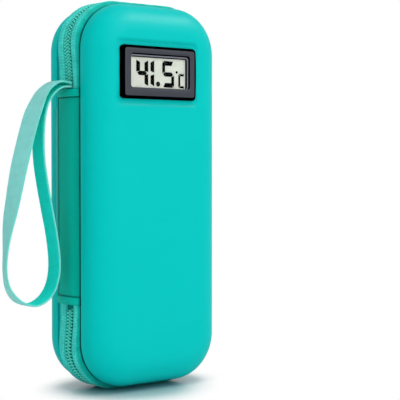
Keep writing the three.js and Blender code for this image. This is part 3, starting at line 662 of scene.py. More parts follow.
def makeFloor():
    # A disc that shows its own colour, shadow and reflection near the case and turns white further off
    ring = grid(np.cos(turns(96)), np.sin(turns(96)), 0.0) * studio["floorRadius"]
    ring[:, 1] += case["midPlane"] / 1000
    mesh = bpy.data.meshes.new("studioFloor")
    mesh.from_pydata(ring.tolist(), [], [list(range(96))])
    floor = addToScene("studioFloor", mesh)
    material, tree, shader = newMaterial("floorPaper", studio["floorColor"], 0.3)
    # Painted contact shadow: the floor darkens to a teal shade where ambient occlusion finds the case close by
    free = put(tree, "ShaderNodeAmbientOcclusion", Distance=studio["contactShadowReach"]).outputs["AO"]
    near = calc(tree, "POWER", free, 1.6)
    setInputs(shader, Base_Color=blendColors(tree, near, studio["contactShadowColor"], studio["floorColor"]))
    moved = put(tree, "ShaderNodeVectorMath", operation="ADD", i0=objectPoint(tree), i1=studio["fadeShift"])
    spot = put(tree, "ShaderNodeVectorMath", operation="LENGTH", i0=moved.outputs["Vector"])
    fade = softStep(tree, spot.outputs["Value"], studio["fadeFrom"], studio["fadeTo"])
    clear = softStep(tree, free, studio["contactFrom"], studio["contactTo"])
    share = calc(tree, "MULTIPLY", calc(tree, "MULTIPLY", fade, clear), seenRays(tree))
    white = put(tree, "ShaderNodeEmission", Color=(1, 1, 1, 1), Strength=1.0)
    mixed = put(tree, "ShaderNodeMixShader", i0=share, i1=shader.outputs[0], i2=white.outputs[0])
    setInputs(tree.nodes["Material Output"], Surface=mixed.outputs[0])
    mesh.materials.append(material)


def makeLights():
    for name, place, aim, wide, tall, power, lights in studio["lamps"]:
        data = bpy.data.lights.new(name, "AREA")
        data.shape = "RECTANGLE"
        data.size, data.size_y, data.energy = wide, tall, power
        lamp = addToScene(name, data)
        lamp.location = place
        lamp.visible_diffuse = lights
        aimAlong(lamp, Vector(aim) - Vector(place))
    world = bpy.data.worlds.new("studioWorld")
    bpy.context.scene.world = world
    world.use_nodes = True
    tree = world.node_tree
    dim = studio["worldStrength"]
    strength = scaled(tree, seenRays(tree), 1 - dim, dim)
    setInputs(tree.nodes["Background"], Color=(1, 1, 1, 1), Strength=strength)
    bpy.context.scene.view_settings.view_transform = "Standard"


makeFloor()
makeLights()
print("studio made")


# The case's rounded outline and the skins of its halves

outlineStops = np.cumsum([0, cornerZ, quarterRun, 2 * cornerX, quarterRun, 2 * cornerZ, quarterRun,
                          2 * cornerX, quarterRun, cornerZ])
roundAlong = np.linspace(0, perimeter, case["roundSteps"] + 1)[:-1]


def outline(along, inset):
    # Rounded rectangle seen from the front. The corner's centre slides along each straight and stands
    # still in each corner, where the angle turns, and a point is centre + (radius - inset) * (cos, sin)
    # of the angle. Along runs from the middle of the left side over the top.
    along = np.mod(along, perimeter)
    centreX = np.interp(along, outlineStops, np.array([-1, -1, -1, 1, 1, 1, 1, -1, -1, -1]) * cornerX)
    centreZ = np.interp(along, outlineStops, np.array([0, 1, 1, 1, 1, -1, -1, -1, -1, 0]) * cornerZ)
    angle = np.interp(along, outlineStops, np.array([2, 2, 1, 1, 0, 0, -1, -1, -2, -2]) * math.pi / 2)
    reach = case["cornerRadius"] - inset
    return centreX + reach * np.cos(angle), midHeight + centreZ + reach * np.sin(angle), angle


def ringAt(along, inset, place):
    x, z, _ = outline(along, inset)
    return grid(x, place, z)


def insetOf(x, z):
    # Distance of a point inwards from the case's outline
    overX = np.abs(x) - cornerX
    overZ = np.abs(z - midHeight) - cornerZ
    outside = np.hypot(np.maximum(overX, 0), np.maximum(overZ, 0)) + np.minimum(np.maximum(overX, overZ), 0)
    return case["cornerRadius"] - outside


def skinPlace(inset, skin):
    # Distance of a half's skin from the meeting plane: a quarter ellipse from the wall to the flat face
    share = np.clip((case["filletInset"] - inset) / (case["filletInset"] - skin), 0, 1)
    deep = case["shellDepth"] - case["bandHalf"] - case["wallStraight"] - skin
    return case["bandHalf"] + case["wallStraight"] + deep * np.sqrt(1 - share ** 2)


def openingIn(side, openWide, openTall):
    # Middle and half sizes of a half's opening: the display's in front, and almost a point at the back
    if side < 0:
        return case["displayX"], case["displayZ"], openWide, openTall
    return 0.0, midHeight, 0.5, 0.5


def skinRows(skin, opening, filletCount, faceCount, stopInset=case["filletInset"], crowd=1.0):
    # One skin of a half from its wall to its opening: rings down the fillet to stopInset, and then rings
    # that turn step by step into the opening's outline, each point kept on the skin. Crowd above one
    # draws the rings together towards the opening.
    last = math.acos(np.clip((case["filletInset"] - stopInset) / (case["filletInset"] - skin), 0, 1))
    insets = case["filletInset"] - (case["filletInset"] - skin) * np.cos(np.linspace(0, last, filletCount))
    rows = [ringAt(roundAlong, inset, float(skinPlace(inset, skin))) for inset in insets]
    middleX, middleZ, openWide, openTall = opening
    edgeX, edgeZ = rows[-1][:, 0], rows[-1][:, 2]
    dx, dz = edgeX - middleX, edgeZ - middleZ
    scale = 1 / np.maximum(np.abs(dx) / openWide, np.abs(dz) / openTall)
    for share in 1 - np.linspace(1, 0, faceCount + 1)[1:] ** crowd:
        x = edgeX * (1 - share) + (middleX + dx * scale) * share
        z = edgeZ * (1 - share) + (middleZ + dz * scale) * share
        rows.append(grid(x, skinPlace(insetOf(x, z), skin), z))
    return rows


# Hard shells, foam and foil

shellStyle = {
    "rimRound": 0.9,
    "rimFlat": 1.6,
    "seamInset": 0.75,
    "outerFillet": 22,
    "innerFillet": 12,
    "faceRings": {1: 14, -1: 40},
    "crowd": {1: 1.0, -1: 2.2},
    "windowHalf": (23.0, 13.3),
    "dishMargin": 1.3,
    "dishSoft": 2.4,
    "dishDepth": 0.8,
    "dishSides": 6.0,
}

# Foam and foil: outer and inner skin, and how wavy the inner one is
layers = {"foam": (3.1, 5.9, 0.0), "foil": (6.2, 6.7, 0.12)}
layerOpening = (26.7, 13.3)
skinShape = {1: "rod", -1: "loop"}


def dishAround(rows):
    # The moulded face dips a little above and below the display: a smooth step by distance from its
    # bezel, which fades out along the bezel's upright sides
    style = shellStyle
    up = np.abs(rows[..., 2] - case["displayZ"])
    overX = np.maximum(np.abs(rows[..., 0] - case["displayX"]) - case["displayHalfWide"], 0)
    away = np.hypot(overX, np.maximum(up - case["displayHalfTall"], 0))
    clear = smoothShare(away, style["dishMargin"], style["dishMargin"] + style["dishSoft"])
    return style["dishDepth"] * smoothShare(up, style["dishSides"], case["displayHalfTall"]) * (1 - clear)


def makeShell(side):
    # From the opening out to the wall, round the lip, over the rim and back along the inner skin
    style = shellStyle
    opening = openingIn(side, *style["windowHalf"])
    faceRings = style["faceRings"][side]
    outer = skinRows(0.0, opening, style["outerFillet"], faceRings, crowd=style["crowd"][side])[::-1]
    if side < 0:
        for row in outer:
            row[:, 1] -= dishAround(row)
    rim, lip, draw = case["bandHalf"], style["rimRound"], style["seamInset"]
    lipRows = [ringAt(roundAlong, draw * (1 - math.cos(a)), rim + lip * (1 - math.sin(a)))
               for a in np.linspace(0, math.pi / 2, 5)]
    rimRows = [ringAt(roundAlong, inset, rim) for inset in (style["rimFlat"], case["shellWall"])]
    rows = outer + lipRows + rimRows + skinRows(case["shellWall"], opening, style["innerFillet"], faceRings)
    # On the front half the lip's rows take the painted shadow of the gap at the tape; the back half's lip keeps
    # the shell colour
    rowSlots = np.zeros(len(rows), int)
    if side < 0:
        rowSlots[len(outer) + 1:len(outer) + len(lipRows) + 1] = 1
    settleHalf(side, "ShellSkin", rows, ("shell", "seam"), "shell", "_shell", shape=skinShape[side],
               rowSlots=rowSlots, sharp=50)


def makeLayer(kind, side):
    # Two skins joined at the rim and at the opening, with a little waviness on the inner one
    outerSkin, innerSkin, waviness = layers[kind]
    opening = openingIn(side, *layerOpening)
    outer = skinRows(outerSkin, opening, 8, 26, 9.0)
    inner = skinRows(innerSkin, opening, 8, 26, 9.5)
    start = case["liningRim"]
    middle = (outerSkin + innerSkin) / 2
    rim = [ringAt(roundAlong, inset, place)
           for inset, place in ((outerSkin, start), (middle, start - 0.05), (innerSkin, start))]
    for count, row in enumerate(inner[:-1]):
        x, z = row[:, 0], row[:, 2]
        ripple = np.sin(x * 0.55 + 2.0 * np.sin(z * 0.13)) * np.sin(z * 0.41 + 0.4 * x)
        row[:, 1] -= waviness * ripple * min(count / 6, 1)
    rows = outer[::-1] + rim + inner
    piece = settleHalf(side, kind.capitalize() + "Layer", rows, (kind,), kind, "_" + kind,
                       shape=skinShape[side])


for side in (1, -1):
    makeShell(side)
    makeLayer("foam", side)
    makeLayer("foil", side)
print("shells, foam and foil made")


# Zip

zipStyle = {
    "start": 56.55,
    "end": perimeter - 57.55,
    "swell": 2.4,
    # Where the swell rises and falls, past the ends of the outline's straights and corners
    "swellShift": {"topRise": (4.8, 15.7), "footFall": (23.6, 14.4)},
    "tapeNear": 0.06,
    "tapeFar": 10.75,
    "tapeFloor": 1.45,
    "tapeCrest": 0.06,
    "tapeRim": 0.5,
    "tapeWall": 2.78,
    # Places from the meeting plane where the tape climbs, slopes down and curls in, and where its inner
    # face slopes
    "climb": (2.7, 4.4),
    "slope": (7.2, 10.9),
    "curl": (10.3, 10.75),
    "curlDepth": 1.3,
    "innerSlope": (7.0, 10.7),
    "coilFirst": 0.8,
    "coilSpare": 2.2,
    "coilPitch": 1.75,
    "coilMiddle": 1.12,
    "coilReach": 1.2,
    "coilDepth": 0.86,
    "coilThick": 0.46,
    "wireRadius": 0.34,
    "pointsPerTurn": 10,
}


def swellAt(along):
    # The zip band swells past the shells round both ends of the case. It lies flat beside the spine and
    # down the right side, where the sliders run.
    stops = outlineStops[1:]
    rise, fall = zipStyle["swellShift"]["topRise"], zipStyle["swellShift"]["footFall"]
    top = smoothShare(along, zipStyle["start"] + rise[0], stops[0] + rise[1])
    top = top * (1 - smoothShare(along, stops[2], stops[3]))
    foot = smoothShare(along, stops[4], stops[5])
    foot = foot * (1 - smoothShare(along, stops[6] + fall[0], stops[7] + fall[1]))
    return zipStyle["swell"] * (top + foot)


def makeTape(side):
    # Woven tape: low under the coil, then a broad crest, and a gentle fall to the shell's rim, where its
    # edge curls in. Its inner face follows at the tape's depth. Rows run round the section.
    style = zipStyle
    along = np.linspace(style["start"], style["end"], 420)
    swell = swellAt(along)
    place = np.concatenate([np.linspace(style["tapeNear"], 2.6, 4), np.linspace(3.0, 10.4, 24),
                            [10.6, style["tapeFar"]]])
    backPlace = (style["tapeFar"], 8.4, 4.0, style["tapeNear"])
    rise, fall = smoothShare(place, *style["climb"]), smoothShare(place, *style["slope"])
    curl = style["curlDepth"] * smoothShare(place, *style["curl"])
    rows = []
    for spot, up, down, turn in zip(place, rise, fall, curl):
        crest = style["tapeFloor"] * (1 - up) + style["tapeCrest"] * up - swell
        puff = 0.05 * up * (1 - down) * (1 + np.sin(along * 0.8 + spot) * np.sin(along * 0.21 + 1.0))
        rows.append(ringAt(along, crest * (1 - down) + style["tapeRim"] * down + puff + turn, spot))
    for spot in backPlace:
        down = smoothShare(spot, *style["innerSlope"])
        rows.append(ringAt(along, style["tapeWall"] - swell * (1 - down), spot))
    around = np.append(place, place[-1] + np.array([1.6, 4.0, 8.4, 12.0]))
    settleHalf(side, "TapeCloth", rows, ("tape",), "zip_tape", "_zip_tape", shape="strip", uv=(along, around),
               sharp=40)


def makeCoil(side):
    # Nylon coil: along grows evenly with the turn, place and depth go round an ellipse, and the two
    # halves stand half a pitch apart, so each loop reaches between two of the other half
    style = zipStyle
    count = int((style["end"] - style["start"] - style["coilSpare"]) / style["coilPitch"]) - 1
    turn = np.linspace(0, 2 * math.pi * count, count * style["pointsPerTurn"] + 1)
    shift = turn / (2 * math.pi) + (0.5 if side < 0 else 0.0)
    along = style["start"] + style["coilFirst"] + style["coilPitch"] * shift
    place = side * (style["coilMiddle"] + style["coilReach"] * np.cos(turn))
    x, z, angle = outline(along, style["coilDepth"] - style["coilThick"] * np.sin(turn) - swellAt(along))
    guide = grid(np.sin(angle), 0.0, -np.cos(angle))
    rows = tubeRows(grid(x, place, z), guide, style["wireRadius"], 5)
    piece = gridMesh(sideNames[side] + "CoilRow", rows, "coil", sharp=80)
    settle(piece, sideBodies[side], sideNames[side] + "_zip_teeth")


def makeStitches(name, points, runs, outs, length, radius, body, look):
    # Small capsules, each along its run and part sunk in the cloth: five rings of six points, drawn in
    # at both ends, copied to every point by broadcasting
    lift = np.array([-1.0, -0.72, 0.0, 0.72, 1.0]) * length / 2
    thin = np.array([0.12, 0.75, 1.0, 0.75, 0.12]) * radius
    cos, sin = np.cos(turns(6))[:, None], np.sin(turns(6))[:, None]
    swing = cos * np.cross(runs, outs)[:, None] + sin * outs[:, None]
    centre = (points - outs * radius * 0.3)[:, None, None] + lift[:, None, None] * runs[:, None, None]
    cloud = centre + thin[:, None, None] * swing[:, None]
    capsule = [[6 * level + k, 6 * level + (k + 1) % 6, 6 * level + (k + 1) % 6 + 6, 6 * level + k + 6]
               for level in range(4) for k in range(6)] + [list(range(6))[::-1], list(range(24, 30))]
    faces = [[corner + 30 * count for corner in face] for count in range(len(points)) for face in capsule]
    mesh, _ = newMesh(name, cloud.reshape(-1, 3), faces, (look,))
    mesh.update()
    faceOutwards(mesh)
    mesh.shade_smooth()
    settle(addToScene(name, mesh), body)


for side in (1, -1):
    makeTape(side)
    makeCoil(side)
print("zip made")


# Spine and its hems

spineStyle = {
    "halfSpan": 10.6,
    "bulge": 1.3,
    "sink": 0.85,
    "wall": 1.4,
    "liningHalf": 9.9,
    "liningDepth": 1.75,
    "liningWall": 0.4,
    "hemHalf": 10.3,
    "hemHeight": 4.0,
    "hemRise": 0.85,
    "pipingRadius": 0.78,
    "pipingPlace": 10.0,
    "pipingTaper": 14,
    "hingePlace": (9.0, 12.6),
    "hingeDepth": (2.28, 2.94),
    "hingeWall": 0.22,
    # Where a bend of the cloth would start and end, in millimetres
    "bendX": -39.5,
    "bendPlaces": (9.7, 12.3),
    "bendZ": 100.0,
    "hemGroove": (0.28, 1.15),
}
spineTall = (case["spineLow"], case["spineHigh"])


def spineBow(place):
    # How far the panel stands out past the case's side: a soft arch, drawn in at both long edges
    share = np.abs(place) / spineStyle["halfSpan"]
    arch = spineStyle["bulge"] * (1 - share ** 2)
    return arch - spineStyle["sink"] * smoothShare(share, 0.72, 1.0)


def makeSpinePanel():
    style = spineStyle
    place = np.linspace(-style["halfSpan"], style["halfSpan"], 44)
    z = np.linspace(*spineTall, 120)[:, None]
    bow = spineBow(place)
    ripple = 0.07 * np.sin(z * 0.21 + 0.6) * np.sin(place * 0.33 + 1.0)
    ripple += 0.05 * np.sin(z * 0.47) * np.cos(place * 0.5)
    back = grid(-halfWide + style["wall"] + np.minimum(-bow * 0.4, 0), place, z)
    back[:, -1, 0] += 0.1
    rows = doubled(grid(-halfWide - bow - ripple, place, z), back)
    piece = settle(gridMesh("spineLeather", rows, "leather"), "spine", "spine_panel")


def makeSpineLining():
    style = spineStyle
    place = np.linspace(-style["liningHalf"], style["liningHalf"], 24)
    depth = -halfWide + style["liningDepth"] - spineBow(place) * 0.35
    face = grid(depth, place, np.linspace(*spineTall, 60)[:, None])
    piece = gridMesh("spineLiningCloth", doubled(face, face + [style["liningWall"], 0, 0]), "lining")
    settle(piece, "spine", "spine_lining")


def makeSpineHem(name, low, node, foldUp):
    # A folded strip across the panel's end: a rounded section in height and rise with a stitched groove
    # near its fold, swept across the bow
    style = spineStyle
    place = np.linspace(-style["hemHalf"], style["hemHalf"], 40)[:, None]
    half = style["hemHeight"] / 2
    height, rise = squareRound(28, half, style["hemRise"], 0.55, 0.7)
    rise = np.where(rise > 0, rise, rise * 0.3)
    size, middle = style["hemGroove"]
    groove = size * np.exp(-((height * foldUp - middle) / size) ** 2) * (rise > 0.2)
    out = np.maximum(spineBow(place) + 0.25, 0.15) + (rise - groove)
    piece = gridMesh(name, grid(-halfWide - out, place, low + half + height), "hem", sharp=50)
    settle(piece, "spine", node)


def makePiping():
    # A thin round cord under the leather's rear edge, tapering out at both ends. Its colour, paler than the
    # leather, is a painted highlight where the edge catches light.
    style = spineStyle
    z = np.linspace(spineTall[0] + 3.5, spineTall[1] - 3.5, 90)
    long = style["pipingTaper"]
    taper = smoothShare(z, z[0], z[0] + long) * (1 - smoothShare(z, z[-1] - long, z[-1]))
    path = grid(-halfWide - 0.15 - 0.25 * taper, style["pipingPlace"], z)
    rows = tubeRows(path, np.array([[0.0, 1.0, 0.0]]), style["pipingRadius"] * (0.35 + 0.65 * taper), 12)
    settle(gridMesh("spinePiping", rows, "pipingHighlight", sharp=80), "spine")


def makeHingeStrip(side):
    # Cloth between the spine's lining and a half's inner wall: a thin strip with its section in depth and
    # place, running from the spine at one edge to the half at the other
    style = spineStyle
    share = np.linspace(0, 1, 15)
    (placeFrom, placeTo), (depthFrom, depthTo) = style["hingePlace"], style["hingeDepth"]
    depth = -halfWide + depthFrom + (depthTo - depthFrom) * smoothShare(share, 0.0, 1.0)
    z = np.linspace(spineTall[0] + 0.8, spineTall[1] - 0.8, 40)[:, None]
    near = grid(depth, (placeFrom + (placeTo - placeFrom) * share) * side, z)
    rows = doubled(near, near + [style["hingeWall"], 0, 0])
    piece = gridMesh(sideNames[side] + "HingeCloth", rows, "binding")
    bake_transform(piece)


makeSpinePanel()
makeSpineLining()
for side in (1, -1):
    makeHingeStrip(side)
makeSpineHem("upperHemFold", case["spineHigh"] - spineStyle["hemHeight"], "spine_hem_upper", 1)
makeSpineHem("lowerHemFold", case["spineLow"], "spine_hem_lower", -1)
makePiping()
print("spine made")


# Wrist strap

strap = {
    "rootX": -43.1,
    "rootZ": 159.6,
    "reach": 37.3,
    "drop": 114.3,
    "width": 11.4,
    "wall": 1.1,
    "flatShare": 0.93,
    "selvedge": 0.4125,
    "facingDegrees": -17.0,
    "edgingDegrees": 21.0,
    # Route out of the root, round the loop and back, as shares of reach and drop
    "route": [
        (0, 0.0075), (0.09, 0.0155), (0.185, 0.014), (0.3, -0.005), (0.4, -0.037), (0.476, -0.08),
        (0.555, -0.135), (0.628, -0.206), (0.69, -0.276), (0.775, -0.379), (0.87, -0.521), (0.958, -0.661),
        (1, -0.793), (0.995, -0.863), (0.948, -0.92), (0.838, -0.968), (0.707, -0.992), (0.589, -1),
        (0.458, -0.988), (0.34, -0.959), (0.251, -0.911), (0.209, -0.845), (0.215, -0.766), (0.259, -0.67),
        (0.33, -0.561), (0.398, -0.451), (0.445, -0.355), (0.461, -0.268), (0.45, -0.189), (0.416, -0.119),
        (0.356, -0.07), (0.267, -0.035), (0.17, -0.014), (0.086, -0.0065), (0, -0.0065)],
}


def makeStrap():
    # Webbing: a flat section with rounded selvedges, carried along the route and turned about it. The
    # section runs over the inner face, round one selvedge, over the outer face and round the other.
    shares = np.array(strap["route"])
    knots = grid(strap["rootX"] - shares[:, 0] * strap["reach"], 0.0,
                 strap["rootZ"] + shares[:, 1] * strap["drop"])
    path, run = smoothPath(knots, 420)
    share = run / run[-1]
    facing = smoothShare(share, 0.04, 0.12) * (1 - smoothShare(share, 0.2, 0.36))
    edging = smoothShare(share, 0.3, 0.4) * (1 - smoothShare(share, 0.42, 0.5))
    twist = np.radians(strap["facingDegrees"] * facing + strap["edgingDegrees"] * edging)[:, None]
    tangent = unit(np.gradient(path, axis=0))
    level = np.array([[0.0, 1.0, 0.0]])
    across = level * np.cos(twist) + np.cross(tangent, level) * np.sin(twist)
    flat, halfWall = strap["width"] / 2 * strap["flatShare"], strap["wall"] / 2
    face = [(flat * value, halfWall * (1 - 0.12 * value ** 8)) for value in np.linspace(-1, 1, 13)]
    bend = [(flat + strap["selvedge"] * math.cos(a), -halfWall * math.sin(a) * 0.88)
            for a in np.linspace(-math.pi / 2, math.pi / 2, 7)[1:-1]]
    section = np.vstack([face + bend, -np.array(face + bend)])
    rows = sweep(path, across, np.cross(tangent, across), section[:, 0], section[:, 1]).swapaxes(0, 1)
    around = runAlong(np.vstack([section, section[:1]]))
    # Slots: the inner face takes the painted shaded copy of the webbing, the selvedges the edge cloth and the
    # outer face the webbing
    rowSlots = np.zeros(len(section), int)
    rowSlots[:12], rowSlots[12:18], rowSlots[30:] = 2, 1, 1
    piece = gridMesh("wristWebbing", rows, "webbing", "edge", "webbingInsideShaded", shape="strip",
                     uv=(run, around), rowSlots=rowSlots, sharp=40)
    settle(piece, "strap", "wrist_strap")


makeStrap()
print("strap made")


# Thermometer

display = {
    "frontPlane": -case["shellDepth"],
    # Rings of the bezel from its back edge round its side, face and stepped opening: centre across and
    # up, half width, half height, corner radius, bow of the sides, depth from the shell's face, and look
    # (0 the face, 1 a side wall in painted shade, 2 the ledge with a painted highlight)
    "bezelRings": [
        (0.3, 0.0, 23.9, 13.3, 1.6, 0.4, 0.8, 1), (0.3, 0.0, 24.4, 13.8, 1.8, 0.5, 0.8, 1),
        (0.3, 0.0, 24.6, 14.0, 2.0, 0.5, -0.55, 1), (0.3, 0.0, 24.6, 14.0, 2.0, 0.5, -0.8, 1),
        (0.32, 0.0, 24.4, 13.8, 1.9, 0.45, -1.2, 1), (0.35, 0.0, 23.95, 13.4, 1.7, 0.35, -1.6, 1),
        (0.42, 0.0, 23.3, 12.8, 1.4, 0.2, -1.88, 1), (0.48, 0.02, 22.9, 12.4, 1.2, 0.1, -1.97, 0),
        (0.52, 0.05, 22.4, 12.0, 1.1, 0.0, -2.0, 0), (0.65, 0.5, 21.0, 10.6, 1.3, 0.0, -2.0, 0),
        (0.8, 0.85, 19.75, 9.15, 1.6, 0.0, -2.0, 0), (0.8, 0.85, 19.55, 8.97, 1.6, 0.0, -1.95, 1),
        (0.78, 0.82, 19.45, 8.9, 1.6, 0.0, -1.4, 1), (0.62, 0.6, 19.1, 8.62, 1.5, 0.0, -1.2, 1),
        (0.58, 0.53, 19.02, 8.54, 1.4, 0.0, -1.3, 2), (0.4, 0.3, 18.75, 8.32, 1.3, 0.0, -1.34, 2),
        (0.35, 0.25, 18.65, 8.22, 1.2, 0.0, -1.28, 2), (0.32, 0.2, 18.55, 8.15, 1.1, 0.0, -1.1, 1),
        (0.28, 0.1, 18.3, 8.02, 0.9, 0.0, -0.6, 1), (0.2, 0.0, 18.1, 7.92, 0.6, 0.0, -0.3, 1)],
    "stroke": 2.4,
    "inkLift": 0.02,
    "inkWall": 0.08,
}
displayLooks = {"display_window": "window", "display_panel": "screen", "display_board": "board",
                "display_housing": "housing", "battery_door": "housing", "battery_left": "cell",
                "battery_right": "cell", "clip_left": "housing", "clip_right": "housing",
                "sensor_tip": "cell"}


def roundedRing(halfAcross, halfUp, radius, steps=9):
    # Rounded rectangle about the origin: four quarter circles, joined by straights
    quarter = np.linspace(0, math.pi / 2, steps)
    rise = np.linspace(0, 1, 7)[1:-1] * 2 - 1
    parts = []
    for corner, (sideX, sideZ) in enumerate(((1, 1), (-1, 1), (-1, -1), (1, -1))):
        angle = quarter + corner * math.pi / 2
        parts.append(np.stack([sideX * (halfAcross - radius) + radius * np.cos(angle),
                               sideZ * (halfUp - radius) + radius * np.sin(angle)], 1))
        if corner in (1, 3):
            parts.append(np.stack([np.full(5, sideX * halfAcross), sideX * rise * (halfUp - radius)], 1))
    return np.vstack(parts)


def onDisplay(flat, depth):
    # Points of the thermometer from its own width and height, at a depth from the shell's face plane
    return grid(flat[:, 0] + case["displayX"], display["frontPlane"] + depth, flat[:, 1] + case["displayZ"])


def makeBezel():
    # The upright sides bow out: across grows by bow times one less the square of the height's share
    rows = []
    for centreX, centreZ, wide, tall, radius, bow, depth, _ in display["bezelRings"]:
        flat = roundedRing(wide, tall, radius)
        flat[:, 0] += np.sign(flat[:, 0]) * bow * (1 - (flat[:, 1] / tall) ** 2)
        rows.append(onDisplay(flat + [centreX, centreZ], depth))
    # Ring looks: the bezel's face, the painted shade of its side walls and the painted highlight of its ledge
    piece = gridMesh("bezelFrame", rows, "bezel", "bezelSideShade", "bezelEdgeHighlight", shape="loop",
                     rowSlots=[ring[7] for ring in display["bezelRings"]], sharp=50)
    settle(piece, "front_half", "display_bezel")


def disc(x, z, radius):
    return np.stack([x + radius * np.cos(turns(24)), z + radius * np.sin(turns(24))], 1)


def digitShapes():
    # Outlines of the display's bars, from the middle of the display. Each bar is long on its outer edge
    # and cut slanting at its ends, and the middle bars are pointed at both ends.
    stroke = display["stroke"]

    def upright(outer, side, high, low, highCut, lowCut):
        inner = outer + side * stroke
        return [(outer, high), (outer, low), (inner, low + lowCut), (inner, high - highCut)]

    def level(left, right, outer, side, cut=1.15):
        inner = outer - side * stroke
        return [(left, outer), (right, outer), (right - cut, inner), (left + cut, inner)]

    def middleBar(left, right, z):
        half = stroke / 2 - 0.04
        return [(left, z), (left + half, z + half), (right - half, z + half), (right, z),
                (right - half, z - half), (left + half, z - half)]

    four = [upright(-14.15, 1, 6.42, 0.2, 1.05, 0.75), upright(-6.38, -1, 6.42, 0.2, 1.3, 0.75),
            upright(-6.38, -1, -0.75, -7.0, 0.75, 1.2), middleBar(-13.5, -7.2, -0.35)]
    one = [upright(-2.45, -1, 6.6, 0.2, 1.3, 0.75), upright(-2.45, -1, -0.75, -7.0, 0.75, 1.2)]
    five = [level(3.75, 10.2, 6.65, 1),
            [(2.95, 5.35), (3.5, 6.25), (4.78, 4.85), (4.78, 0.95), (2.95, 0.2)],
            middleBar(3.5, 10.2, -0.4),
            [(10.86, -6.1), (10.3, -6.95), (9.0, -5.6), (9.0, -1.65), (10.86, -0.85)],
            level(3.6, 10.0, -7.34, -1)]
    unitMark = [[(13.74, -0.25), (13.74, -7.0), (15.04, -6.2), (15.04, -1.05)],
                [(14.1, 0.19), (17.7, 0.19), (17.3, -1.0), (15.1, -1.0)],
                [(14.1, -7.43), (17.6, -7.43), (17.3, -6.25), (15.1, -6.25)]]
    return four + one + five + unitMark + [disc(0.15, -5.74, 1.35), disc(12.6, 1.0, 0.7)]


def makeDigits():
    # Each bar is a thin plate on the glass: its outline twice, closed at both faces
    pieces = []
    for count, flat in enumerate(digitShapes()):
        rows = [onDisplay(np.array(flat), -display["inkLift"] - wall) for wall in (0.0, display["inkWall"])]
        pieces.append(gridMesh(f"digitBar{count}", rows, "ink", sharp=30))
    settle(joinPieces("displayDigits", pieces), "front_half")


makeBezel()
makeDigits()
for name, look in displayLooks.items():
    nodes[name].data.materials.clear()
    nodes[name].data.materials.append(materials[look])
print("thermometer made")


# Inner binding and pockets

inside = {
    "bindingInset": 3.5,
    "bindingPlace": 10.75,
    "bindingHalf": 2.75,
    "bindingThick": 0.4,
    "stitchStep": 3.4,
    "pocketInset": 4.2,
    "pocketFoot": 4.2,
    "pocketTop": 124.0,
    "hemHalf": 37.6,
    "hemZ": (124.3, 128.3),
    "hemPlace": (-9.2, -7.8),
    "bandPlace": 7.9,
    "bandCentres": (-21.0, 0.0, 21.0),
    "bandHalf": 8.5,
    "bandRise": 9.2,
    "bandEnd": 32.3,
    "bandWall": 0.75,
    "bandHeight": 18.0,
    "bandFeet": {"pen_band_lower": 37.2, "pen_band_upper": 86.8},
    "bandSeams": (-31.2, -10.5, 10.5, 31.2),
}


def makeBinding(side):
    # Folded tape round the inner rim: a flat rounded section, turned once round the outline, with a
    # slight pull at each stitch
    style = inside
    across, through = squareRound(20, style["bindingHalf"], style["bindingThick"], 0.5, 0.7)
    pull = 0.05 * np.sin(roundAlong * 2 * math.pi / style["stitchStep"])
    rows = [ringAt(roundAlong, style["bindingInset"] + deep * (1 + pull), style["bindingPlace"] + spot)
            for spot, deep in zip(across, through)]
    settleHalf(side, "BindingTape", rows, ("binding",), "binding", "_binding", shape="loop")
    along = np.arange(0, perimeter - 1, style["stitchStep"])
    x, z, angle = outline(along, style["bindingInset"] + style["bindingThick"])
    points = grid(x, side * (style["bindingPlace"] - 1.2), z)
    outs = -grid(np.cos(angle), 0.0, np.sin(angle))
    runs = grid(np.sin(angle), 0.0, -np.cos(angle))
    makeStitches(sideNames[side] + "BindingStitches", points, runs, outs, 2.4, 0.22, sideBodies[side],
                 "darkThread")


def pocketHalfWide(z):
    # Half width inside the rounded outline at a height, for the pocket's inset
    radius = case["cornerRadius"] - inside["pocketInset"]
    below = np.clip(case["cornerRadius"] - z, 0, radius)
    return cornerX + np.sqrt(radius ** 2 - below ** 2)


def makePocketSheet(name, node, place, wall, look, crown, side):
    # A sheet across the half: share across runs -1 to 1 between the sides, and the sheet swells towards
    # the middle by crown and hangs a little loose along its upper edge
    foot, top = inside["pocketFoot"], inside["pocketTop"]
    z = np.append(foot + np.array([0.0, 0.5, 1.2, 2.4, 4.0]), np.linspace(10, top, 48))[:, None]
    share = np.linspace(-1, 1, 41)
    x = share * pocketHalfWide(z)
    level = (z - foot) / (top - foot)
    swell = crown * (1 - share ** 2) * np.sin(level * math.pi * 0.5) ** 0.5
    wave = 0.07 * np.sin(x * 0.31 + z * 0.05) * level + 0.05 * np.sin(z * 0.23 + x * 0.1)
    y = place - side * (swell + wave * (1 - share ** 6))
    piece = gridMesh(name, doubled(grid(x, y - wall / 2, z), grid(x, y + wall / 2, z)), look)
    settle(piece, sideBodies[side], node)


def makeNetHem():
    # Elastic edge of the net pocket: a rounded section with gathers, carried across the case
    x = np.linspace(-inside["hemHalf"], inside["hemHalf"], 120)[:, None]
    (low, high), (near, far) = inside["hemZ"], inside["hemPlace"]
    up, out = squareRound(24, (high - low) / 2, (far - near) / 2, 0.5, 0.6)
    gather = 1 - 0.10 * (0.5 + 0.5 * np.sin(x * 2.1 + 0.8 * np.sin(x * 0.4)))
    rows = grid(x, (near + far) / 2 + out * gather, (low + high) / 2 + up * (0.97 + 0.03 * gather))
    settle(gridMesh("netHemElastic", rows, "elastic"), "front_half", "net_hem")


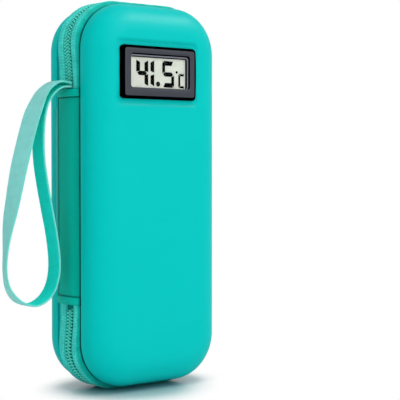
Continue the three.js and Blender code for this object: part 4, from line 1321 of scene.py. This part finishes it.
def bandPath():
    # Half circles over the pens and flats between them, seen from above, from left to right
    level, reach = inside["bandPlace"], inside["bandHalf"]
    turn = np.linspace(math.pi, 0, 13)[1:-1]
    knots = [(-inside["bandEnd"], level)]
    for centre in inside["bandCentres"]:
        arch = zip(centre + reach * np.cos(turn), level - inside["bandRise"] * np.sin(turn) ** 0.9)
        knots += [(centre - reach - 0.7, level), *arch, (centre + reach + 0.7, level)]
    return smoothPath(knots + [(inside["bandEnd"], level)], 260)


def makePenBand(node, foot):
    # Ribbed elastic: the path is carried up the band's height, its arches drawn in at mid height, and
    # the wall is closed round both edges
    wall, tall = inside["bandWall"], inside["bandHeight"]
    path, run = bandPath()
    tangent = unit(np.gradient(path, axis=0))
    normal = np.stack([tangent[:, 1], -tangent[:, 0]], 1)
    arch = np.clip((inside["bandPlace"] - path[:, 1]) / inside["bandRise"], 0, 1)
    height = np.linspace(0, 1, 15)
    waist = -0.35 * np.sin(height * math.pi)
    edges = 0.12 * (np.exp(-((height - 0.08) / 0.05) ** 2) + np.exp(-((height - 0.92) / 0.05) ** 2))
    levels = [(share, draw, wall + edge) for share, draw, edge in zip(height, waist, edges)]
    levels += [(share, draw, 0.0) for share, draw, _ in levels[::-1]]
    rows = []
    for share, draw, out in levels:
        flat = path + normal * (draw * arch + out)[:, None]
        rows.append(grid(flat[:, 0], flat[:, 1], foot + share * tall))
    around = np.append(height, height[-1] + 0.05 + height) * tall
    title = node.title().replace("_", "")
    piece = gridMesh("elastic" + title, rows, "elastic", shape="strip", uv=(run, around), sharp=40)
    settle(piece, "back_half", node)
    z = np.arange(foot + 1.2, foot + tall - 0.6, 1.9)
    points = np.array([(x, inside["bandPlace"] - wall, level) for x in inside["bandSeams"] for level in z])
    runs = np.tile([0.0, 0.0, 1.0], (len(points), 1))
    outs = np.tile([0.0, -1.0, 0.0], (len(points), 1))
    makeStitches("stitches" + title, points, runs, outs, 1.4, 0.2, "back_half", "thread")


for side in (1, -1):
    makeBinding(side)
makePocketSheet("pocketPanelCloth", "pocket_panel", 8.7, 0.6, "lining", 0.25, 1)
makePocketSheet("netPocketMesh", "net_pocket", -8.8, 0.24, "net", 0.35, -1)
makeNetHem()
for node, foot in inside["bandFeet"].items():
    makePenBand(node, foot)
print("binding, pockets and pen bands made")


# Gel packs

gelStyle = {
    "halfAcross": 25.0,
    "halfUp": 68.0,
    "middlePlace": 14.25,
    "middleZ": 77.5,
    "rimWide": 1.5,
    "rimHalf": 0.3,
    "crownHalf": 4.4,
    "swellRun": 11.0,
    "shoulderRun": 10.8,
    "crownInsets": (13.4, 24.6),
    "puckers": 46,
    "puckerHeight": 0.16,
    "dimpleDepth": 0.10,
}


def stadium(share, inset):
    # Point on the pack's outline, drawn in by inset: straight sides joined by half circles
    straight = gelStyle["halfUp"] - gelStyle["halfAcross"]
    arc = gelStyle["halfAcross"] * math.pi / 2
    stops = np.cumsum([0, straight, arc, arc, 2 * straight, arc, arc, straight])
    along = share * stops[-1]
    centre = np.interp(along, stops, np.array([0, 1, 1, 1, -1, -1, -1, 0]) * straight)
    angle = np.interp(along, stops, np.array([2, 2, 1, 0, 0, -1, -2, -2]) * math.pi / 2)
    reach = gelStyle["halfAcross"] - inset
    return reach * np.cos(angle), centre + reach * np.sin(angle)


def makeGelPack(name, node, body, side):
    # Two films welded round a thin rim. From the rim inwards each film rises to a flat crown as a
    # rounded shoulder, with weld puckers that die out inwards, and slow dimples from the gel.
    style = gelStyle
    rim = style["rimWide"]
    share = np.linspace(0, 1, 261)[:-1]
    shoulder = rim + style["shoulderRun"] * np.linspace(0, 1, 20)[1:] ** 1.7
    insets = np.concatenate([[0.0, 0.12, 0.9, rim], shoulder, np.linspace(*style["crownInsets"], 9)])
    pucker = np.sin(share * 2 * math.pi * style["puckers"] + 1.4 * np.sin(share * 31.0)) * style["puckerHeight"]
    rows = []
    for face, inset in [(1, inset) for inset in insets[::-1]] + [(-1, inset) for inset in insets]:
        x, z = stadium(share, inset)
        rise = np.clip((inset - rim) / style["swellRun"], 0, 1)
        swell = (style["crownHalf"] - style["rimHalf"]) * (1 - (1 - rise) ** 2.3) ** 0.62
        fold = pucker * np.exp(-((inset - 3.0) / 2.6) ** 2) * (inset > rim)
        dimple = style["dimpleDepth"] * np.sin(z * 0.11 + 0.7 * face) * np.cos(x * 0.14 + 0.5) * rise
        edge = style["rimHalf"] * (0.25 if inset == 0 else 1.0)
        place = style["middlePlace"] * side + face * (edge + swell + fold + dimple)
        rows.append(grid(x, place, z + style["middleZ"]))
    piece = settle(gridMesh(name, rows, "gel", sharp=50), body, node)


makeGelPack("backGelPillow", "back_gel_pack", "back_pack", 1)
makeGelPack("frontGelPillow", "front_gel_pack", "front_half", -1)
print("gel packs made")


# Sliders and pulls

sliderStyle = {
    "upperZ": 107.15,
    "lowerZ": 95.85,
    "plateNear": 42.7,
    "plateFar": 43.9,
    "halfWide": 3.5,
    "halfTall": 5.4,
    "plateCorner": 2.2,
    "plateEdge": 0.35,
    "waist": 0.6,
    # Half thickness, half height, corner and edge of a side flange
    "flange": (0.4, 4.6, 0.35, 0.2),
    "flangeNear": 40.6,
    "flangePlace": 3.05,
    "crownHalf": 1.5,
    "crownThick": 0.4,
    # The bridge over the pull's bar, as x and height from the slider's middle
    "bridge": [(43.6, -3.4), (44.3, -2.9), (45.2, -2.1), (45.9, -1.35), (46.1, 0.0), (45.9, 1.35),
               (45.2, 2.1), (44.3, 2.9), (43.6, 3.4)],
    "pivotX": 44.8,
    "pullTilt": 3.0,
    "barStops": (-2.5, -1.2, 1.2, 2.5),
    "barRadius": 0.45,
    "armPlace": 2.25,
    "armLong": 7.0,
    "armRadius": 0.5,
    "tabHalf": 3.5,
    "tabLong": 16.0,
    "tabThick": 1.4,
    "ribCount": 9,
    "ribHeight": 0.16,
}
levelAxis = np.array([0.0, 1.0, 0.0])


def boxRings(lowX, highX, halfY, halfZ, radius, edge, centreY, centreZ, waist=0.0):
    # A rounded plate: rings of one outline from its foot to its top, drawn in by a quarter circle at
    # both edges, with its sides drawn in at mid height by waist
    steps = []
    for a in np.linspace(0, math.pi / 2, 4):
        sink, draw = edge * (1 - math.sin(a)), edge * (1 - math.cos(a))
        steps += [(lowX + sink, draw), (highX - sink, draw)]
    rows = []
    for x, draw in sorted(steps):
        flat = roundedRing(halfY - draw, halfZ - draw, max(radius - draw, 0.1), 6)
        flat[:, 0] *= 1 - waist / halfY * np.exp(-(flat[:, 1] / (halfZ * 0.45)) ** 2)
        rows.append(grid(x, flat[:, 0] + centreY, flat[:, 1] + centreZ))
    return rows


def makeSlider(name, node, centreZ, turn):
    # Cast body: a waisted plate with two side flanges and a bridge that is carried over the pull's bar
    style = sliderStyle
    plate = boxRings(style["plateNear"], style["plateFar"], style["halfWide"], style["halfTall"],
                     style["plateCorner"], style["plateEdge"], 0.0, centreZ, style["waist"])
    parts = [gridMesh(name, plate, "slider", sharp=40)]
    for side in (1, -1):
        flange = boxRings(style["flangeNear"], style["plateNear"] + 0.5, *style["flange"],
                          side * style["flangePlace"], centreZ)
        parts.append(gridMesh(name + "Flange", flange, "slider", sharp=40))
    path, _ = smoothPath(style["bridge"], 30)
    path = grid(path[:, 0], 0.0, path[:, 1] * turn + centreZ)
    wide, deep = squareRound(16, style["crownHalf"], style["crownThick"], 0.6, 0.7)
    through = np.cross(unit(np.gradient(path, axis=0)), levelAxis)
    rows = sweep(path, levelAxis[None], through, wide, deep)
    parts.append(gridMesh(name + "Bridge", rows, "slider", sharp=40))
    settle(joinPieces(name, parts), node, node)


def makePull(name, node, centreZ, way):
    # Rubber pull: a bar through the bridge, two arms and a tab. Its own axes are across, down its
    # length and out of the case, turned to hang or to stand against the zip.
    style = sliderStyle
    tilt = math.radians(style["pullTilt"]) if way > 0 else 0.0
    length = np.array([-math.sin(tilt), 0.0, math.cos(tilt) * way])
    out = np.array([math.cos(tilt), 0.0, math.sin(tilt) * way])
    pivot = np.array([style["pivotX"], 0.0, centreZ])
    parts = []

    def addPart(ending, rows):
        placed = pivot + rows[..., :1] * levelAxis + rows[..., 1:2] * length + rows[..., 2:] * out
        parts.append(gridMesh(name + ending, placed, "pull", sharp=50))

    guide = np.array([[0.0, 0.0, 1.0]])
    addPart("", tubeRows(grid(np.array(style["barStops"]), 0.0, 0.0), guide, style["barRadius"], 12))
    share = np.linspace(0, 1, 8)
    for side in (1, -1):
        spread = side * style["armPlace"] * (1 + 0.12 * share ** 2)
        arm = grid(spread, -0.35 + (style["armLong"] + 0.6) * share, 0.0)
        addPart("Arm", tubeRows(arm, guide, style["armRadius"], 10))
    along = np.linspace(0, 1, 60)[:, None]
    taper = np.abs(along * 2 - 1)
    wide = style["tabHalf"] * np.clip(1 - taper ** 7, 0.0, 1) ** 0.5 * (0.86 + 0.14 * along)
    ribs = np.clip(np.sin(along * 2 * math.pi * style["ribCount"]), 0, 1) * (np.abs(along - 0.55) < 0.32)
    thick = (style["tabThick"] / 2 - style["ribHeight"]) * np.clip(1 - taper ** 14, 0.02, 1) ** 0.5
    thick += style["ribHeight"] * ribs
    across, deep = squareRound(24, np.maximum(wide, 0.25), thick, 0.45, 0.6)
    addPart("Tab", grid(across, style["armLong"] + along * style["tabLong"], deep))
    settle(joinPieces(name, parts), node, node)


for title, way in (("upper", 1), ("lower", -1)):
    makeSlider(title + "SliderBody", title + "_slider", sliderStyle[title + "Z"], way)
for title, way in (("upper", 1), ("lower", -1)):
    makePull(title + "PullTab", title + "_pull", sliderStyle[title + "Z"], way)
print("sliders and pulls made")
